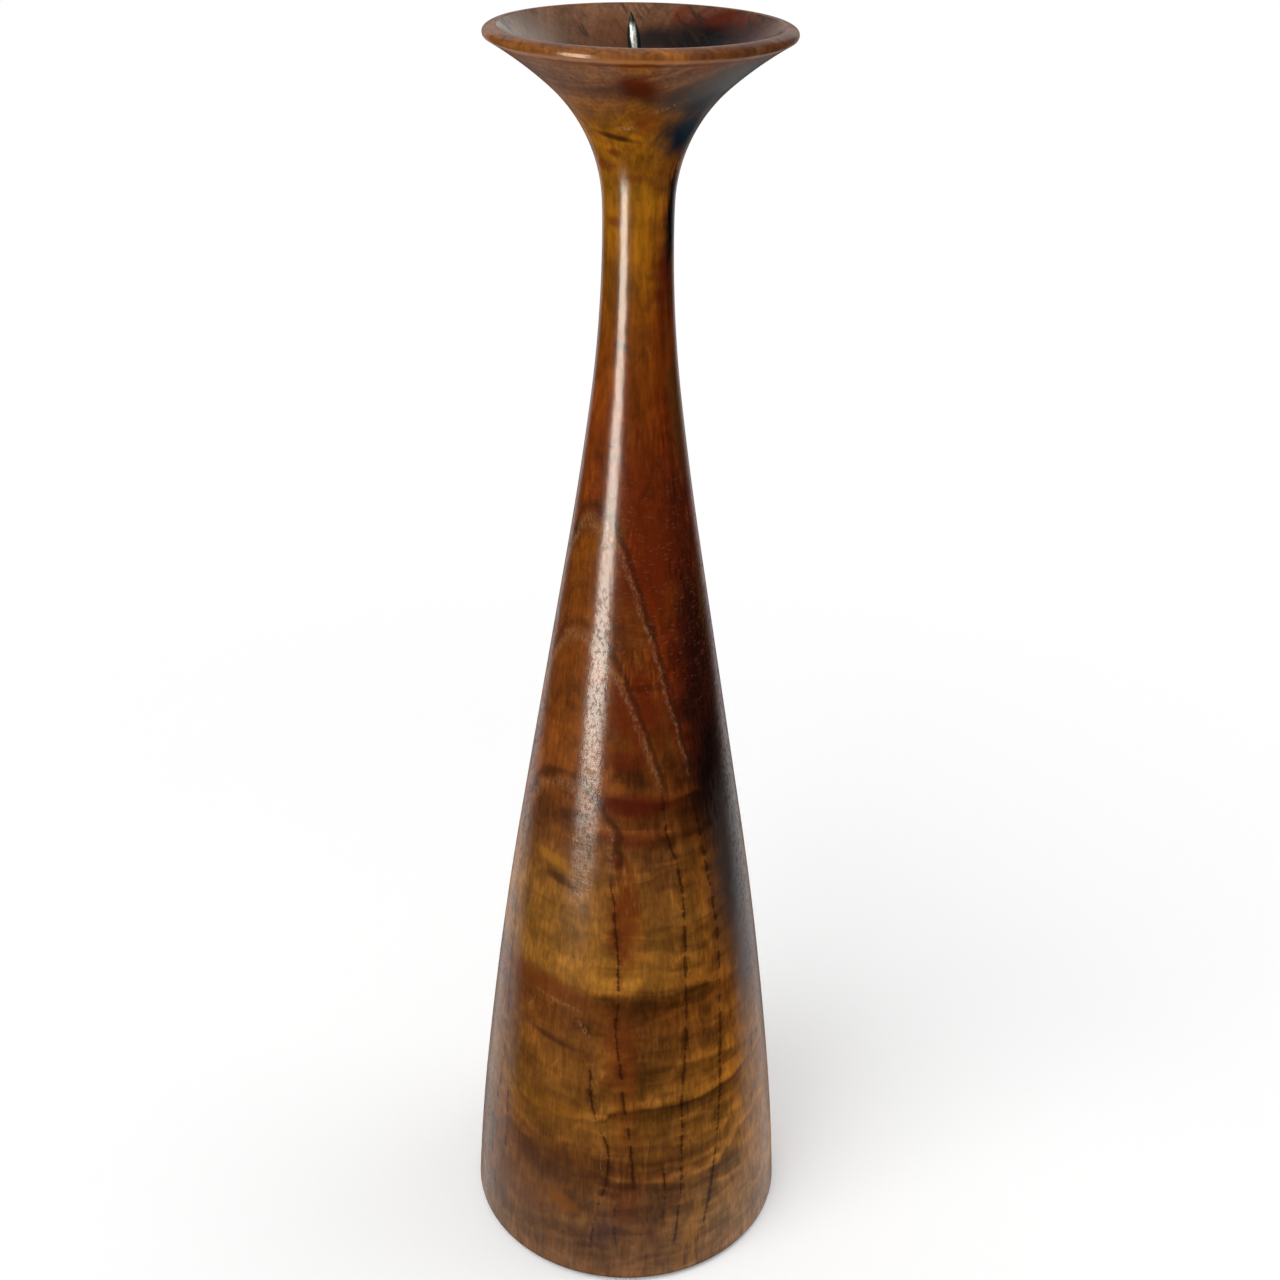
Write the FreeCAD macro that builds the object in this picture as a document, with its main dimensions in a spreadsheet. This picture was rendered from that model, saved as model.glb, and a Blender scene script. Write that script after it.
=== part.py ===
import FreeCAD, Part
import math
import os
import Sketcher

# Pricket candle stand, in millimetres.
# The frame has +Z up, with the origin at the middle of the foot, on the table.
# +X is to the right and -Y is towards the viewer. The pricket leans to -X.

# Driving dimensions: name, value, meaning
DIMENSIONS = [
    ("stand_height", 356.0, "table to the crest of the lip"),
    ("flare_height", 46.0, "narrowest place of the neck to the crest"),
    ("foot_diameter", 95.0, "across the foot"),
    ("neck_diameter", 17.5, "across the narrowest place of the neck"),
    ("rim_diameter", 73.0, "across the outer edge of the lip"),
    ("foot_gap", 0.5, "table to the wood, kept open by the felt"),
    ("foot_chamfer", 1.2, "chamfer on the foot's lower edge"),
    ("lip_width", 2.85, "crest of the lip to its outer edge"),
    ("lip_top_radius", 4.2, "soft top of the lip, outside the crest"),
    ("lip_edge_radius", 1.2, "tighter outer edge of the lip"),
    ("lip_inner_radius", 0.8, "inner edge of the lip, inside the crest"),
    ("dish_depth", 16.0, "crest to the floor of the dish"),
    ("dish_floor_diameter", 18.0, "across the flat floor of the dish"),
    ("dish_wall_radius", 150.0, "hollow curve of the dish wall"),
    ("dish_blend_radius", 3.0, "blend of the dish wall into the floor"),
    ("pricket_diameter", 3.0, "across the shank that stands in the dish"),
    ("pricket_root_step", 0.2, "shank's side out to the root's, with its thread not cut"),
    ("pricket_root_depth", 0.3, "floor of the dish down to the root"),
    ("pricket_exposed", 18.7, "floor of the dish to the tip, along the pricket"),
    ("pricket_embedded", 14.0, "floor of the dish down to the buried end"),
    ("pricket_point", 6.0, "length of the tapering point"),
    ("pricket_shoulder", 3.0, "length of the point's curved part, below its straight taper"),
    ("pricket_tip_diameter", 0.3, "across the blunted tip"),
    ("pricket_end_chamfer", 0.4, "chamfer on the buried end"),
    ("pricket_lean", 7.0, "degrees from upright"),
    ("bore_clearance", 0.02, "wood to root, on each side"),
    ("bore_end_gap", 1.0, "bottom of the bore to the buried end"),
    ("bore_chamfer", 1.0, "chamfer at the mouth of the bore"),
    ("felt_margin", 4.5, "edge of the foot in to the edge of the felt"),
    ("felt_thickness", 1.5, "thickness of the felt"),
    ("felt_clearance", 0.3, "felt to the recess wall, on each side"),
    ("glue_line", 0.1, "felt to the recess roof"),
    ("cut_overrun", 2.0, "length by which a cut starts outside the wood"),
]

# The outer wall is a chain of arcs, each tangent to the next, round one straight taper.
# Where two of them join below the neck: height as a share of the neck's height,
# and how far the radius is from the neck's to the foot's
ABOVE_TAPER_SHARES = [
    (0.855, 0.0743),
    (0.726, 0.2256),
]
TAPER_END_SHARE = 0.450
BELOW_TAPER_SHARES = [
    (0.300, 0.7665),
    (0.150, 0.9080),
]

# Where the arcs of the flare join: height as a share of the flare's height,
# and how far the radius is from the neck's to the rim's
FLARE_SHARES = [
    (0.121, 0.0036),
    (0.711, 0.4613),
]

# How closely an edge has to match to be the one looked for, in millimetres
EDGE_TOLERANCE = 0.01

# Rounds of a sum that settles far sooner than this
SETTLING_STEPS = 30

SHEET = "Dimensions"
FULL_TURN = 360.0
UP = math.pi / 2
DOWN = -math.pi / 2
START = 1
END = 2
CENTRE = 3
ORIGIN = (-1, 1)
VERTICAL_AXIS = -2
UPRIGHT = FreeCAD.Vector(0, 0, 1)

doc = FreeCAD.newDocument("PricketCandleStand")
sheet = doc.addObject("Spreadsheet::Sheet", SHEET)


def fill_sheet():
    for row, (name, amount, meaning) in enumerate(DIMENSIONS, start=1):
        sheet.set(f"A{row}", name)
        sheet.set(f"B{row}", str(amount))
        sheet.set(f"C{row}", meaning)
        sheet.setAlias(f"B{row}", name)
    doc.recompute()


def size(name):
    """How an expression names a driving dimension."""
    return f"{SHEET}.{name}"


def value(expression):
    """The number that an expression gives now."""
    return float(sheet.evalExpression(expression))


def between(low, high, share):
    """The expression for a place between two others."""
    return f"({low}) + {share} * (({high}) - ({low}))"


# Places that several pieces share
FOOT_RADIUS = f"{size('foot_diameter')} / 2"
NECK_RADIUS = f"{size('neck_diameter')} / 2"
RIM_RADIUS = f"{size('rim_diameter')} / 2"
NECK_HEIGHT = f"{size('stand_height')} - {size('flare_height')}"
CHAMFER_TOP = f"{size('foot_gap')} + {size('foot_chamfer')}"
CREST_RADIUS = f"{RIM_RADIUS} - {size('lip_width')}"
FLOOR_RADIUS = f"{size('dish_floor_diameter')} / 2"
FLOOR_HEIGHT = f"{size('stand_height')} - {size('dish_depth')}"
SHANK_RADIUS = f"{size('pricket_diameter')} / 2"
TIP_RADIUS = f"{size('pricket_tip_diameter')} / 2"
ROOT_RADIUS = f"{SHANK_RADIUS} + {size('pricket_root_step')}"
BORE_RADIUS = f"{ROOT_RADIUS} + {size('bore_clearance')}"
FELT_RADIUS = f"{FOOT_RADIUS} - {size('felt_margin')}"


def point(radius, height):
    return FreeCAD.Vector(value(radius), value(height), 0)


def leaning():
    """The turn about the axis towards the viewer that leans the bore and the pricket to -X."""
    return FreeCAD.Rotation(FreeCAD.Vector(0, -1, 0), value(size("pricket_lean")))


def new_body(label):
    body = doc.addObject("PartDesign::Body", label)
    body.Label = label
    return body


def new_sketch(body, name, plane):
    sketch = body.newObject("Sketcher::SketchObject", name)
    origin_plane = next(item for item in body.Origin.OriginFeatures if item.Role == plane)
    sketch.AttachmentSupport = [(origin_plane, "")]
    sketch.MapMode = "FlatFace"
    return sketch


def bind(sketch, constraint, expression):
    """Add a sized constraint and let the expression set its size."""
    index = sketch.addConstraint(constraint)
    sketch.setExpression(f"Constraints[{index}]", expression)


def place_point(sketch, where, radius, height):
    """Fix a point of the sketch by its distance from the axis and its height."""
    bind(sketch, Sketcher.Constraint("DistanceX", *ORIGIN, *where, value(radius)), radius)
    bind(sketch, Sketcher.Constraint("DistanceY", *ORIGIN, *where, value(height)), height)


def set_radius(sketch, item, radius):
    bind(sketch, Sketcher.Constraint("Radius", item, value(radius)), radius)


def join(sketch, first, second, kind="Coincident"):
    sketch.addConstraint(Sketcher.Constraint(kind, *first, *second))


def line(sketch, start, end, construction=False):
    return sketch.addGeometry(Part.LineSegment(start, end), construction)


def arc(sketch, centre, radius, start, end):
    """An arc that runs counter-clockwise from the point start to the point end."""
    circle = Part.Circle(centre, UPRIGHT, radius)
    return sketch.addGeometry(Part.ArcOfCircle(circle, circle.parameter(start), circle.parameter(end)))


def upper_crossing(first, second):
    """The higher of the two points where two circles cross."""
    crossings = [FreeCAD.Vector(place.X, place.Y, 0) for place in first.intersectCC(second)]
    return max(crossings, key=lambda place: place.y)


def touching_point(start, direction, centre, radius):
    """Where the arc that leaves start in a direction touches a circle that it curves round."""
    side = FreeCAD.Vector(math.sin(direction), -math.cos(direction), 0)
    offset = centre - start
    reach = (offset.Length**2 - radius**2) / (2 * (offset.dot(side) - radius))
    arc_centre = start + side * reach
    return centre + (centre - arc_centre).normalize() * radius


def revolve(body, sketch, name):
    feature = body.newObject("PartDesign::Revolution", name)
    feature.Profile = sketch
    feature.ReferenceAxis = (sketch, ["V_Axis"])
    feature.Angle = FULL_TURN
    doc.recompute()
    return feature


def check_cut(feature, base):
    if feature.Shape.Volume >= base.Shape.Volume:
        raise RuntimeError(f"{feature.Label} removes nothing")


class Chain:
    """A run of arcs and lines in a sketch, each tangent to the one before it."""

    def __init__(self, sketch, place, direction):
        self.sketch = sketch
        self.place = place
        self.direction = direction
        self.last_end = None

    def follow(self, first_end, last_end, place):
        if self.last_end:
            join(self.sketch, self.last_end, first_end, "Tangent")
        self.last_end = last_end
        self.place = place

    def bend(self, end):
        """Draw the arc that leaves the chain's end in its direction and reaches a point."""
        chord = end - self.place
        half_turn = math.atan2(chord.y, chord.x) - self.direction
        reach = chord.Length / (2 * math.sin(half_turn))
        side = FreeCAD.Vector(-math.sin(self.direction), math.cos(self.direction), 0)
        centre = self.place + side * reach
        if half_turn > 0:
            item = arc(self.sketch, centre, reach, self.place, end)
            ends = ((item, START), (item, END))
        else:
            item = arc(self.sketch, centre, -reach, end, self.place)
            ends = ((item, END), (item, START))
        self.follow(*ends, end)
        self.direction += 2 * half_turn
        return ends

    def bend_to(self, radius, height):
        """The same to a fixed radius and height."""
        ends = self.bend(point(radius, height))
        place_point(self.sketch, ends[1], radius, height)
        return ends

    def run_to(self, height):
        """Draw the line that goes straight on to a fixed height."""
        ahead = FreeCAD.Vector(math.cos(self.direction), math.sin(self.direction), 0)
        end = self.place + ahead * ((value(height) - self.place.y) / ahead.y)
        item = line(self.sketch, self.place, end)
        self.follow((item, START), (item, END), end)
        bind(self.sketch, Sketcher.Constraint("DistanceY", *ORIGIN, item, END, value(height)), height)


def column_joint(height_share, radius_share):
    return between(NECK_RADIUS, FOOT_RADIUS, radius_share), between("0", NECK_HEIGHT, height_share)


def flare_joint(height_share, radius_share):
    radius = between(NECK_RADIUS, RIM_RADIUS, radius_share)
    return radius, between(NECK_HEIGHT, size("stand_height"), height_share)


def draw_column(sketch):
    """The wall from the neck down to the foot. Returns its two ends."""
    chain = Chain(sketch, point(NECK_RADIUS, NECK_HEIGHT), DOWN)
    above = [chain.bend_to(*column_joint(*shares)) for shares in ABOVE_TAPER_SHARES]
    neck_end = above[0][0]
    chain.run_to(between("0", NECK_HEIGHT, TAPER_END_SHARE))
    for shares in BELOW_TAPER_SHARES:
        chain.bend_to(*column_joint(*shares))
    chain.bend_to(FOOT_RADIUS, CHAMFER_TOP)
    place_point(sketch, neck_end, NECK_RADIUS, NECK_HEIGHT)
    sketch.addConstraint(Sketcher.Constraint("Horizontal", neck_end[0], CENTRE, *neck_end))
    return neck_end, chain.last_end


def draw_flare(sketch, neck_end, edge_centre, edge_radius):
    """The wall from the neck up to the lip's outer edge. Returns its end and the place they touch."""
    chain = Chain(sketch, point(NECK_RADIUS, NECK_HEIGHT), UP)
    chain.last_end = neck_end
    for shares in FLARE_SHARES:
        chain.bend_to(*flare_joint(*shares))
    touch = touching_point(chain.place, chain.direction, edge_centre, edge_radius)
    chain.bend(touch)
    return chain.last_end, touch


def draw_stand_outline(sketch):
    """Half of the stand's section: underside, chamfered foot, outer wall, rolled lip and dish."""
    height = size("stand_height")
    foot_gap = size("foot_gap")
    edge_radius = size("lip_edge_radius")
    top_radius = size("lip_top_radius")
    inner_radius = size("lip_inner_radius")
    dish_radius = size("dish_wall_radius")
    blend_radius = size("dish_blend_radius")
    foot_reach = f"{FOOT_RADIUS} - {size('foot_chamfer')}"
    edge_reach = f"{RIM_RADIUS} - {edge_radius}"
    edge_rise = f"sqrt(({top_radius} - {edge_radius})^2 - ({size('lip_width')} - {edge_radius})^2)"

    # Where each arc starts out, close enough for the constraints to settle it
    foot_flat = point(foot_reach, foot_gap)
    foot_edge = point(FOOT_RADIUS, CHAMFER_TOP)
    edge_centre = point(edge_reach, f"{height} - {top_radius} + {edge_rise}")
    top_centre = point(CREST_RADIUS, f"{height} - {top_radius}")
    inner_centre = point(CREST_RADIUS, f"{height} - {inner_radius}")
    crest = point(CREST_RADIUS, height)
    edge_end = edge_centre + (edge_centre - top_centre).normalize() * value(edge_radius)
    floor_edge = point(FLOOR_RADIUS, FLOOR_HEIGHT)
    blend_centre = point(FLOOR_RADIUS, f"{FLOOR_HEIGHT} + {blend_radius}")
    near_lip = Part.Circle(inner_centre, UPRIGHT, value(f"{dish_radius} + {inner_radius}"))
    near_floor = Part.Circle(blend_centre, UPRIGHT, value(f"{dish_radius} - {blend_radius}"))
    dish_centre = upper_crossing(near_lip, near_floor)
    blend_end = blend_centre + (blend_centre - dish_centre).normalize() * value(blend_radius)
    inner_end = inner_centre + (dish_centre - inner_centre).normalize() * value(inner_radius)
    floor_middle = point("0", FLOOR_HEIGHT)
    foot_middle = point("0", foot_gap)

    neck_end, wall_foot = draw_column(sketch)
    wall_top, edge_start = draw_flare(sketch, neck_end, edge_centre, value(edge_radius))
    chamfer = line(sketch, foot_flat, foot_edge)
    edge_arc = arc(sketch, edge_centre, value(edge_radius), edge_start, edge_end)
    top_arc = arc(sketch, top_centre, value(top_radius), edge_end, crest)
    inner_arc = arc(sketch, inner_centre, value(inner_radius), crest, inner_end)
    dish_arc = arc(sketch, dish_centre, value(dish_radius), blend_end, inner_end)
    blend_arc = arc(sketch, blend_centre, value(blend_radius), floor_edge, blend_end)
    floor = line(sketch, floor_edge, floor_middle)
    middle = line(sketch, floor_middle, foot_middle)
    underside = line(sketch, foot_middle, foot_flat)

    join(sketch, (chamfer, END), wall_foot)
    join(sketch, wall_top, (edge_arc, START), "Tangent")
    join(sketch, (edge_arc, END), (top_arc, START), "Tangent")
    join(sketch, (top_arc, END), (inner_arc, START), "Tangent")
    join(sketch, (inner_arc, END), (dish_arc, END), "Tangent")
    join(sketch, (dish_arc, START), (blend_arc, END), "Tangent")
    join(sketch, (blend_arc, START), (floor, START), "Tangent")
    join(sketch, (floor, END), (middle, START))
    join(sketch, (middle, END), (underside, START))
    join(sketch, (underside, END), (chamfer, START))

    for item, radius in (
        (edge_arc, edge_radius),
        (top_arc, top_radius),
        (inner_arc, inner_radius),
        (dish_arc, dish_radius),
        (blend_arc, blend_radius),
    ):
        set_radius(sketch, item, radius)
    bind(sketch, Sketcher.Constraint("DistanceX", *ORIGIN, edge_arc, CENTRE, value(edge_reach)), edge_reach)
    place_point(sketch, (top_arc, END), CREST_RADIUS, height)
    sketch.addConstraint(Sketcher.Constraint("Vertical", top_arc, CENTRE, top_arc, END))
    place_point(sketch, (blend_arc, START), FLOOR_RADIUS, FLOOR_HEIGHT)
    sketch.addConstraint(Sketcher.Constraint("Horizontal", floor))
    sketch.addConstraint(Sketcher.Constraint("PointOnObject", middle, START, VERTICAL_AXIS))
    sketch.addConstraint(Sketcher.Constraint("PointOnObject", middle, END, VERTICAL_AXIS))
    sketch.addConstraint(Sketcher.Constraint("Horizontal", underside))
    place_point(sketch, (chamfer, START), foot_reach, foot_gap)


def draw_disc(sketch, radius):
    circle = Part.Circle(FreeCAD.Vector(), UPRIGHT, value(radius))
    item = sketch.addGeometry(circle)
    join(sketch, (item, CENTRE), ORIGIN)
    set_radius(sketch, item, radius)


def cut_felt_recess(body, base):
    """The shallow recess under the foot, cut upwards from the table."""
    sketch = new_sketch(body, "RecessOutline", "XY_Plane")
    draw_disc(sketch, f"{FELT_RADIUS} + {size('felt_clearance')}")
    recess = body.newObject("PartDesign::Pocket", "FeltRecess")
    recess.Profile = sketch
    recess.Reversed = True
    recess.setExpression("Length", f"{size('felt_thickness')} + {size('glue_line')}")
    doc.recompute()
    check_cut(recess, base)
    return recess


def cut_pricket_bore(body, base):
    """The bore that holds the pricket's root, drilled at the pricket's lean."""
    lean = size("pricket_lean")
    overrun = size("cut_overrun")
    sketch = new_sketch(body, "BoreOutline", "XY_Plane")
    draw_disc(sketch, BORE_RADIUS)
    sketch.AttachmentOffset = FreeCAD.Placement(FreeCAD.Vector(), leaning())
    sketch.setExpression("AttachmentOffset.Base.x", f"-{overrun} * sin({lean})")
    sketch.setExpression("AttachmentOffset.Base.z", f"{FLOOR_HEIGHT} + {overrun} * cos({lean})")
    sketch.setExpression("AttachmentOffset.Rotation.Angle", lean)
    bore = body.newObject("PartDesign::Pocket", "PricketBore")
    bore.Profile = sketch
    bore.setExpression("Length", f"{overrun} + {size('pricket_embedded')} + {size('bore_end_gap')}")
    doc.recompute()
    check_cut(bore, base)
    return bore


def chamfer_bore_mouth(body, bore):
    """Chamfer the oval edge where the leaning bore meets the dish floor."""
    half_width = value(f"({BORE_RADIUS}) / cos({size('pricket_lean')})")
    floor = value(FLOOR_HEIGHT)
    for number, edge in enumerate(bore.Shape.Edges, start=1):
        box = edge.BoundBox
        level = box.ZLength < EDGE_TOLERANCE and abs(box.ZMin - floor) < EDGE_TOLERANCE
        if level and abs(box.XLength / 2 - half_width) < EDGE_TOLERANCE:
            mouth = body.newObject("PartDesign::Chamfer", "BoreMouth")
            mouth.Base = (bore, [f"Edge{number}"])
            mouth.setExpression("Size", size("bore_chamfer"))
            doc.recompute()
            check_cut(mouth, bore)
            return
    raise RuntimeError("the bore has no mouth in the dish floor")


def build_stand():
    """The wooden stand, turned from one piece."""
    body = new_body("turned_stand")
    sketch = new_sketch(body, "StandOutline", "XZ_Plane")
    draw_stand_outline(sketch)
    form = revolve(body, sketch, "TurnedForm")
    recess = cut_felt_recess(body, form)
    bore = cut_pricket_bore(body, recess)
    chamfer_bore_mouth(body, bore)
    return body


def shoulder_bend(start, tip, length):
    """Where the curve that is upright at start passes into the taper to the tip, and its radius."""
    half = math.atan2(start.x - tip.x, tip.y - start.y)
    for _ in range(SETTLING_STEPS):
        inward = length * math.tan(half)
        turn = math.atan2(start.x - inward - tip.x, tip.y - start.y - length)
        half = turn / 2
    return FreeCAD.Vector(start.x - inward, start.y + length, 0), length / math.sin(turn)


def build_pricket():
    """The steel pricket: buried root, plain shank and tapering point, leaning in the dish."""
    body = new_body("pricket_spike")
    sketch = new_sketch(body, "PricketOutline", "XZ_Plane")
    chamfer = size("pricket_end_chamfer")
    bottom = f"-{size('pricket_embedded')}"
    root_top = f"-{size('pricket_root_depth')}"
    shoulder = f"{size('pricket_exposed')} - {size('pricket_point')}"
    corners = [
        ("0", bottom),
        (f"{ROOT_RADIUS} - {chamfer}", bottom),
        (ROOT_RADIUS, f"{bottom} + {chamfer}"),
        (ROOT_RADIUS, root_top),
        (SHANK_RADIUS, root_top),
        (SHANK_RADIUS, shoulder),
    ]
    tip = (TIP_RADIUS, size("pricket_exposed"))
    bend_height = f"{shoulder} + {size('pricket_shoulder')}"

    places = [point(*corner) for corner in corners]
    side = [line(sketch, *ends) for ends in zip(places, places[1:])]
    tip_edge = point(*tip)
    tip_middle = FreeCAD.Vector(0, tip_edge.y, 0)
    bend_place, bend_radius = shoulder_bend(places[-1], tip_edge, value(size("pricket_shoulder")))
    bend_centre = places[-1] - FreeCAD.Vector(bend_radius, 0, 0)
    shoulder_arc = arc(sketch, bend_centre, bend_radius, places[-1], bend_place)
    taper = line(sketch, bend_place, tip_edge)
    flat = line(sketch, tip_edge, tip_middle)
    middle = line(sketch, tip_middle, places[0])

    for item, corner in zip(side, corners[1:]):
        place_point(sketch, (item, END), *corner)
    for lower, upper in zip(side, side[1:]):
        join(sketch, (lower, END), (upper, START))
    join(sketch, (side[-1], END), (shoulder_arc, START), "Tangent")
    join(sketch, (shoulder_arc, END), (taper, START), "Tangent")
    bend_level = Sketcher.Constraint("DistanceY", *ORIGIN, taper, START, value(bend_height))
    bind(sketch, bend_level, bend_height)
    place_point(sketch, (taper, END), *tip)
    join(sketch, (taper, END), (flat, START))
    join(sketch, (flat, END), (middle, START))
    join(sketch, (middle, END), (side[0], START))
    sketch.addConstraint(Sketcher.Constraint("Horizontal", side[0]))
    sketch.addConstraint(Sketcher.Constraint("Horizontal", flat))
    sketch.addConstraint(Sketcher.Constraint("PointOnObject", middle, START, VERTICAL_AXIS))
    sketch.addConstraint(Sketcher.Constraint("PointOnObject", middle, END, VERTICAL_AXIS))
    revolve(body, sketch, "TurnedPin")

    body.Placement = FreeCAD.Placement(FreeCAD.Vector(), leaning())
    body.setExpression("Placement.Base.z", FLOOR_HEIGHT)
    body.setExpression("Placement.Rotation.Angle", size("pricket_lean"))
    return body


def build_felt():
    """The felt disc that the stand rests on."""
    body = new_body("felt_pad")
    sketch = new_sketch(body, "FeltOutline", "XY_Plane")
    draw_disc(sketch, FELT_RADIUS)
    pad = body.newObject("PartDesign::Pad", "FeltDisc")
    pad.Profile = sketch
    pad.setExpression("Length", size("felt_thickness"))
    return body


def check_document():
    """Stop if any object failed, any outline is loose or any piece isn't one valid solid."""
    for item in doc.Objects:
        if "Invalid" in item.State or "Error" in item.State:
            raise RuntimeError(f"{item.Label} is {item.State}")
        if item.TypeId == "Sketcher::SketchObject" and not item.FullyConstrained:
            raise RuntimeError(f"{item.Label} isn't fully constrained")
    for body in BODIES:
        shape = body.Shape
        if shape.isNull() or not shape.isValid() or len(shape.Solids) != 1:
            raise RuntimeError(f"{body.Label} isn't one valid solid")


def write_parts():
    os.makedirs("parts", exist_ok=True)
    for body in BODIES:
        body.Shape.exportStep(f"parts/{body.Label}.step")
        box = body.Shape.optimalBoundingBox()
        print(f"{body.Label}: {body.Shape.Volume:.1f} mm3, height {box.ZMin:.2f} to {box.ZMax:.2f}")


fill_sheet()
BODIES = [build_stand(), build_pricket(), build_felt()]
doc.recompute()
check_document()
write_parts()
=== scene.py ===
import math

import bmesh
import bpy
from mathutils import Matrix, Vector, noise


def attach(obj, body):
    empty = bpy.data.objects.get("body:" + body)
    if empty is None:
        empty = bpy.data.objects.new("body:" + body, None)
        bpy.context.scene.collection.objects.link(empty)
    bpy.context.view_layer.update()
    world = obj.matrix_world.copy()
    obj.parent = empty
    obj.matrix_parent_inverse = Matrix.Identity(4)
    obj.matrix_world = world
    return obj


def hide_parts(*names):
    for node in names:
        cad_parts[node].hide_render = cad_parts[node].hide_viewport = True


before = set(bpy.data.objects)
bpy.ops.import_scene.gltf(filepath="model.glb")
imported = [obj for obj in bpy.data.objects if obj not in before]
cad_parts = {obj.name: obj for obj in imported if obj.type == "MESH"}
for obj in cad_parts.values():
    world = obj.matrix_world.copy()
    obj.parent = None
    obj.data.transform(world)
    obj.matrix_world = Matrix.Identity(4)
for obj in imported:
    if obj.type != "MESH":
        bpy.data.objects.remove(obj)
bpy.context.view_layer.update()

# Pricket candle stand: a turned, lacquered stand with a steel pricket and a felt pad.
# Lengths are millimetres, as in the CAD, and MM turns them into metres. The studio's are metres.
# Angles round the stand are degrees from the front (-Y), positive towards the right (+X).

MM = 0.001

# Sizes that repeat the CAD model's
STAND_HEIGHT = 356.0
NECK_HEIGHT = 310.0
NECK_RADIUS = 8.75
FOOT_RADIUS = 47.5
RIM_RADIUS = 36.5
FOOT_GAP = 0.5
FOOT_CHAMFER = 1.2
RECESS_RADIUS = 43.3
RECESS_ROOF = 1.6
LIP_WIDTH = 2.85
LIP_TOP_RADIUS = 4.2
LIP_EDGE_RADIUS = 1.2
LIP_INNER_RADIUS = 0.8
FLOOR_HEIGHT = 340.0
FLOOR_RADIUS = 9.0
DISH_WALL_RADIUS = 150.0
DISH_BLEND_RADIUS = 3.0
BORE_RADIUS = 1.72
BORE_CHAMFER = 1.0
BORE_DEPTH = 15.0
PRICKET_LEAN = math.radians(7.0)
ROOT_RADIUS = 1.7
SHANK_RADIUS = 1.5
TIP_RADIUS = 0.15
PRICKET_EXPOSED = 18.7
PRICKET_POINT = 6.0
PRICKET_SHOULDER = 3.0
TAPER_RADIUS = 1.056
PRICKET_BURIED = 14.0
ROOT_TOP = -0.3
ROOT_CHAMFER = 0.4
FELT_RADIUS = 43.0
FELT_THICKNESS = 1.5

# How much the mesh softens edges that are sharp in the CAD
RECESS_EASE = 0.15
FOOT_EASE = 0.1
BORE_EASE = 0.1
ROOT_EASE = 0.05
SHANK_EASE_ACROSS = 0.03
SHANK_EASE_ALONG = 0.1

# The pricket's blunt end: how far below the tip its edge and its crown are, and the crown's width
TIP_EDGE_DROP = 0.08
TIP_CROWN_DROP = 0.02
TIP_CROWN_SHARE = 0.6

# The felt's cut edge (how far in, how high). The edge frays by a share, over a reach from the rim.
# The top's nap varies by a depth. A fineness is how many swings of noise there are to a metre.
FELT_EDGE = [(0.30, 0.02), (0.08, 0.20), (0.0, 0.55), (0.02, 0.95), (0.10, 1.32), (0.34, FELT_THICKNESS)]
FRAY_REACH = 0.5
FRAY_SHARE = 0.004
FRAY_FINENESS = 900
NAP_DEPTH = 0.06
NAP_FINENESS = 260

# Hammer dents on the pricket: between which heights above the dish floor, how deep and how fine
DENT_LOWEST = 0.5
DENT_HIGHEST = 18.4
DENT_SHARE = 0.018
DENT_FINENESS_ACROSS = 700
DENT_FINENESS_ALONG = 240

# Joints of the wall's arcs: (share of the height, share of the way out), as in the CAD
ABOVE_TAPER_SHARES = [(0.855, 0.0743), (0.726, 0.2256)]
TAPER_END_SHARE = 0.450
BELOW_TAPER_SHARES = [(0.300, 0.7665), (0.150, 0.9080)]
FLARE_SHARES = [(0.121, 0.0036), (0.711, 0.4613)]

# How finely the turned pieces are divided
AROUND_STAND = 288
AROUND_PRICKET = 64
AROUND_FELT = 240
ARC_STEP = 1.6
FLARE_END_STEPS = 14
LIP_EDGE_STEPS = 14
LIP_TOP_STEPS = 10
LIP_INNER_STEPS = 8
DISH_WALL_STEPS = 40
DISH_BLEND_STEPS = 8
SHANK_STEPS = 26
TAPER_STEPS = 12
FELT_RINGS = 24
SHARP_ANGLE = math.radians(38)

# The two upright headings in a half section
UP = math.pi / 2
DOWN = -math.pi / 2

# Wood colours
AMBER = (0.290, 0.100, 0.005)
GOLD = (0.360, 0.140, 0.012)
CREAM = (0.420, 0.220, 0.110)
ORANGE = (0.210, 0.060, 0.004)
RED_BROWN = (0.150, 0.028, 0.003)
BROWN = (0.105, 0.030, 0.006)
DARK_BROWN = (0.040, 0.012, 0.004)
DARK_RED = (0.090, 0.008, 0.002)
MAROON = (0.120, 0.014, 0.0015)
BLACK = (0.004, 0.002, 0.002)
PAINTED_NAVY_REFLECTION = (0.004, 0.011, 0.020)
OLIVE = (0.050, 0.032, 0.006)
PURPLE = (0.060, 0.022, 0.020)
PAINTED_SLATE_REFLECTION = (0.034, 0.026, 0.024)
PAINTED_GREY_REFLECTION = (0.060, 0.058, 0.055)
PAINTED_BEIGE_SHEEN = (0.340, 0.270, 0.210)
TAN = (0.300, 0.150, 0.070)
PAINTED_LIP_HIGHLIGHT = (0.460, 0.180, 0.060)
STREAK_BROWN = (0.020, 0.004, 0.001)
PORE_BROWN = (0.020, 0.006, 0.002)
STRIPE_BROWN = (0.022, 0.010, 0.006)

# Colours of the other materials
WHITE = (1.0, 1.0, 1.0)
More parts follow.
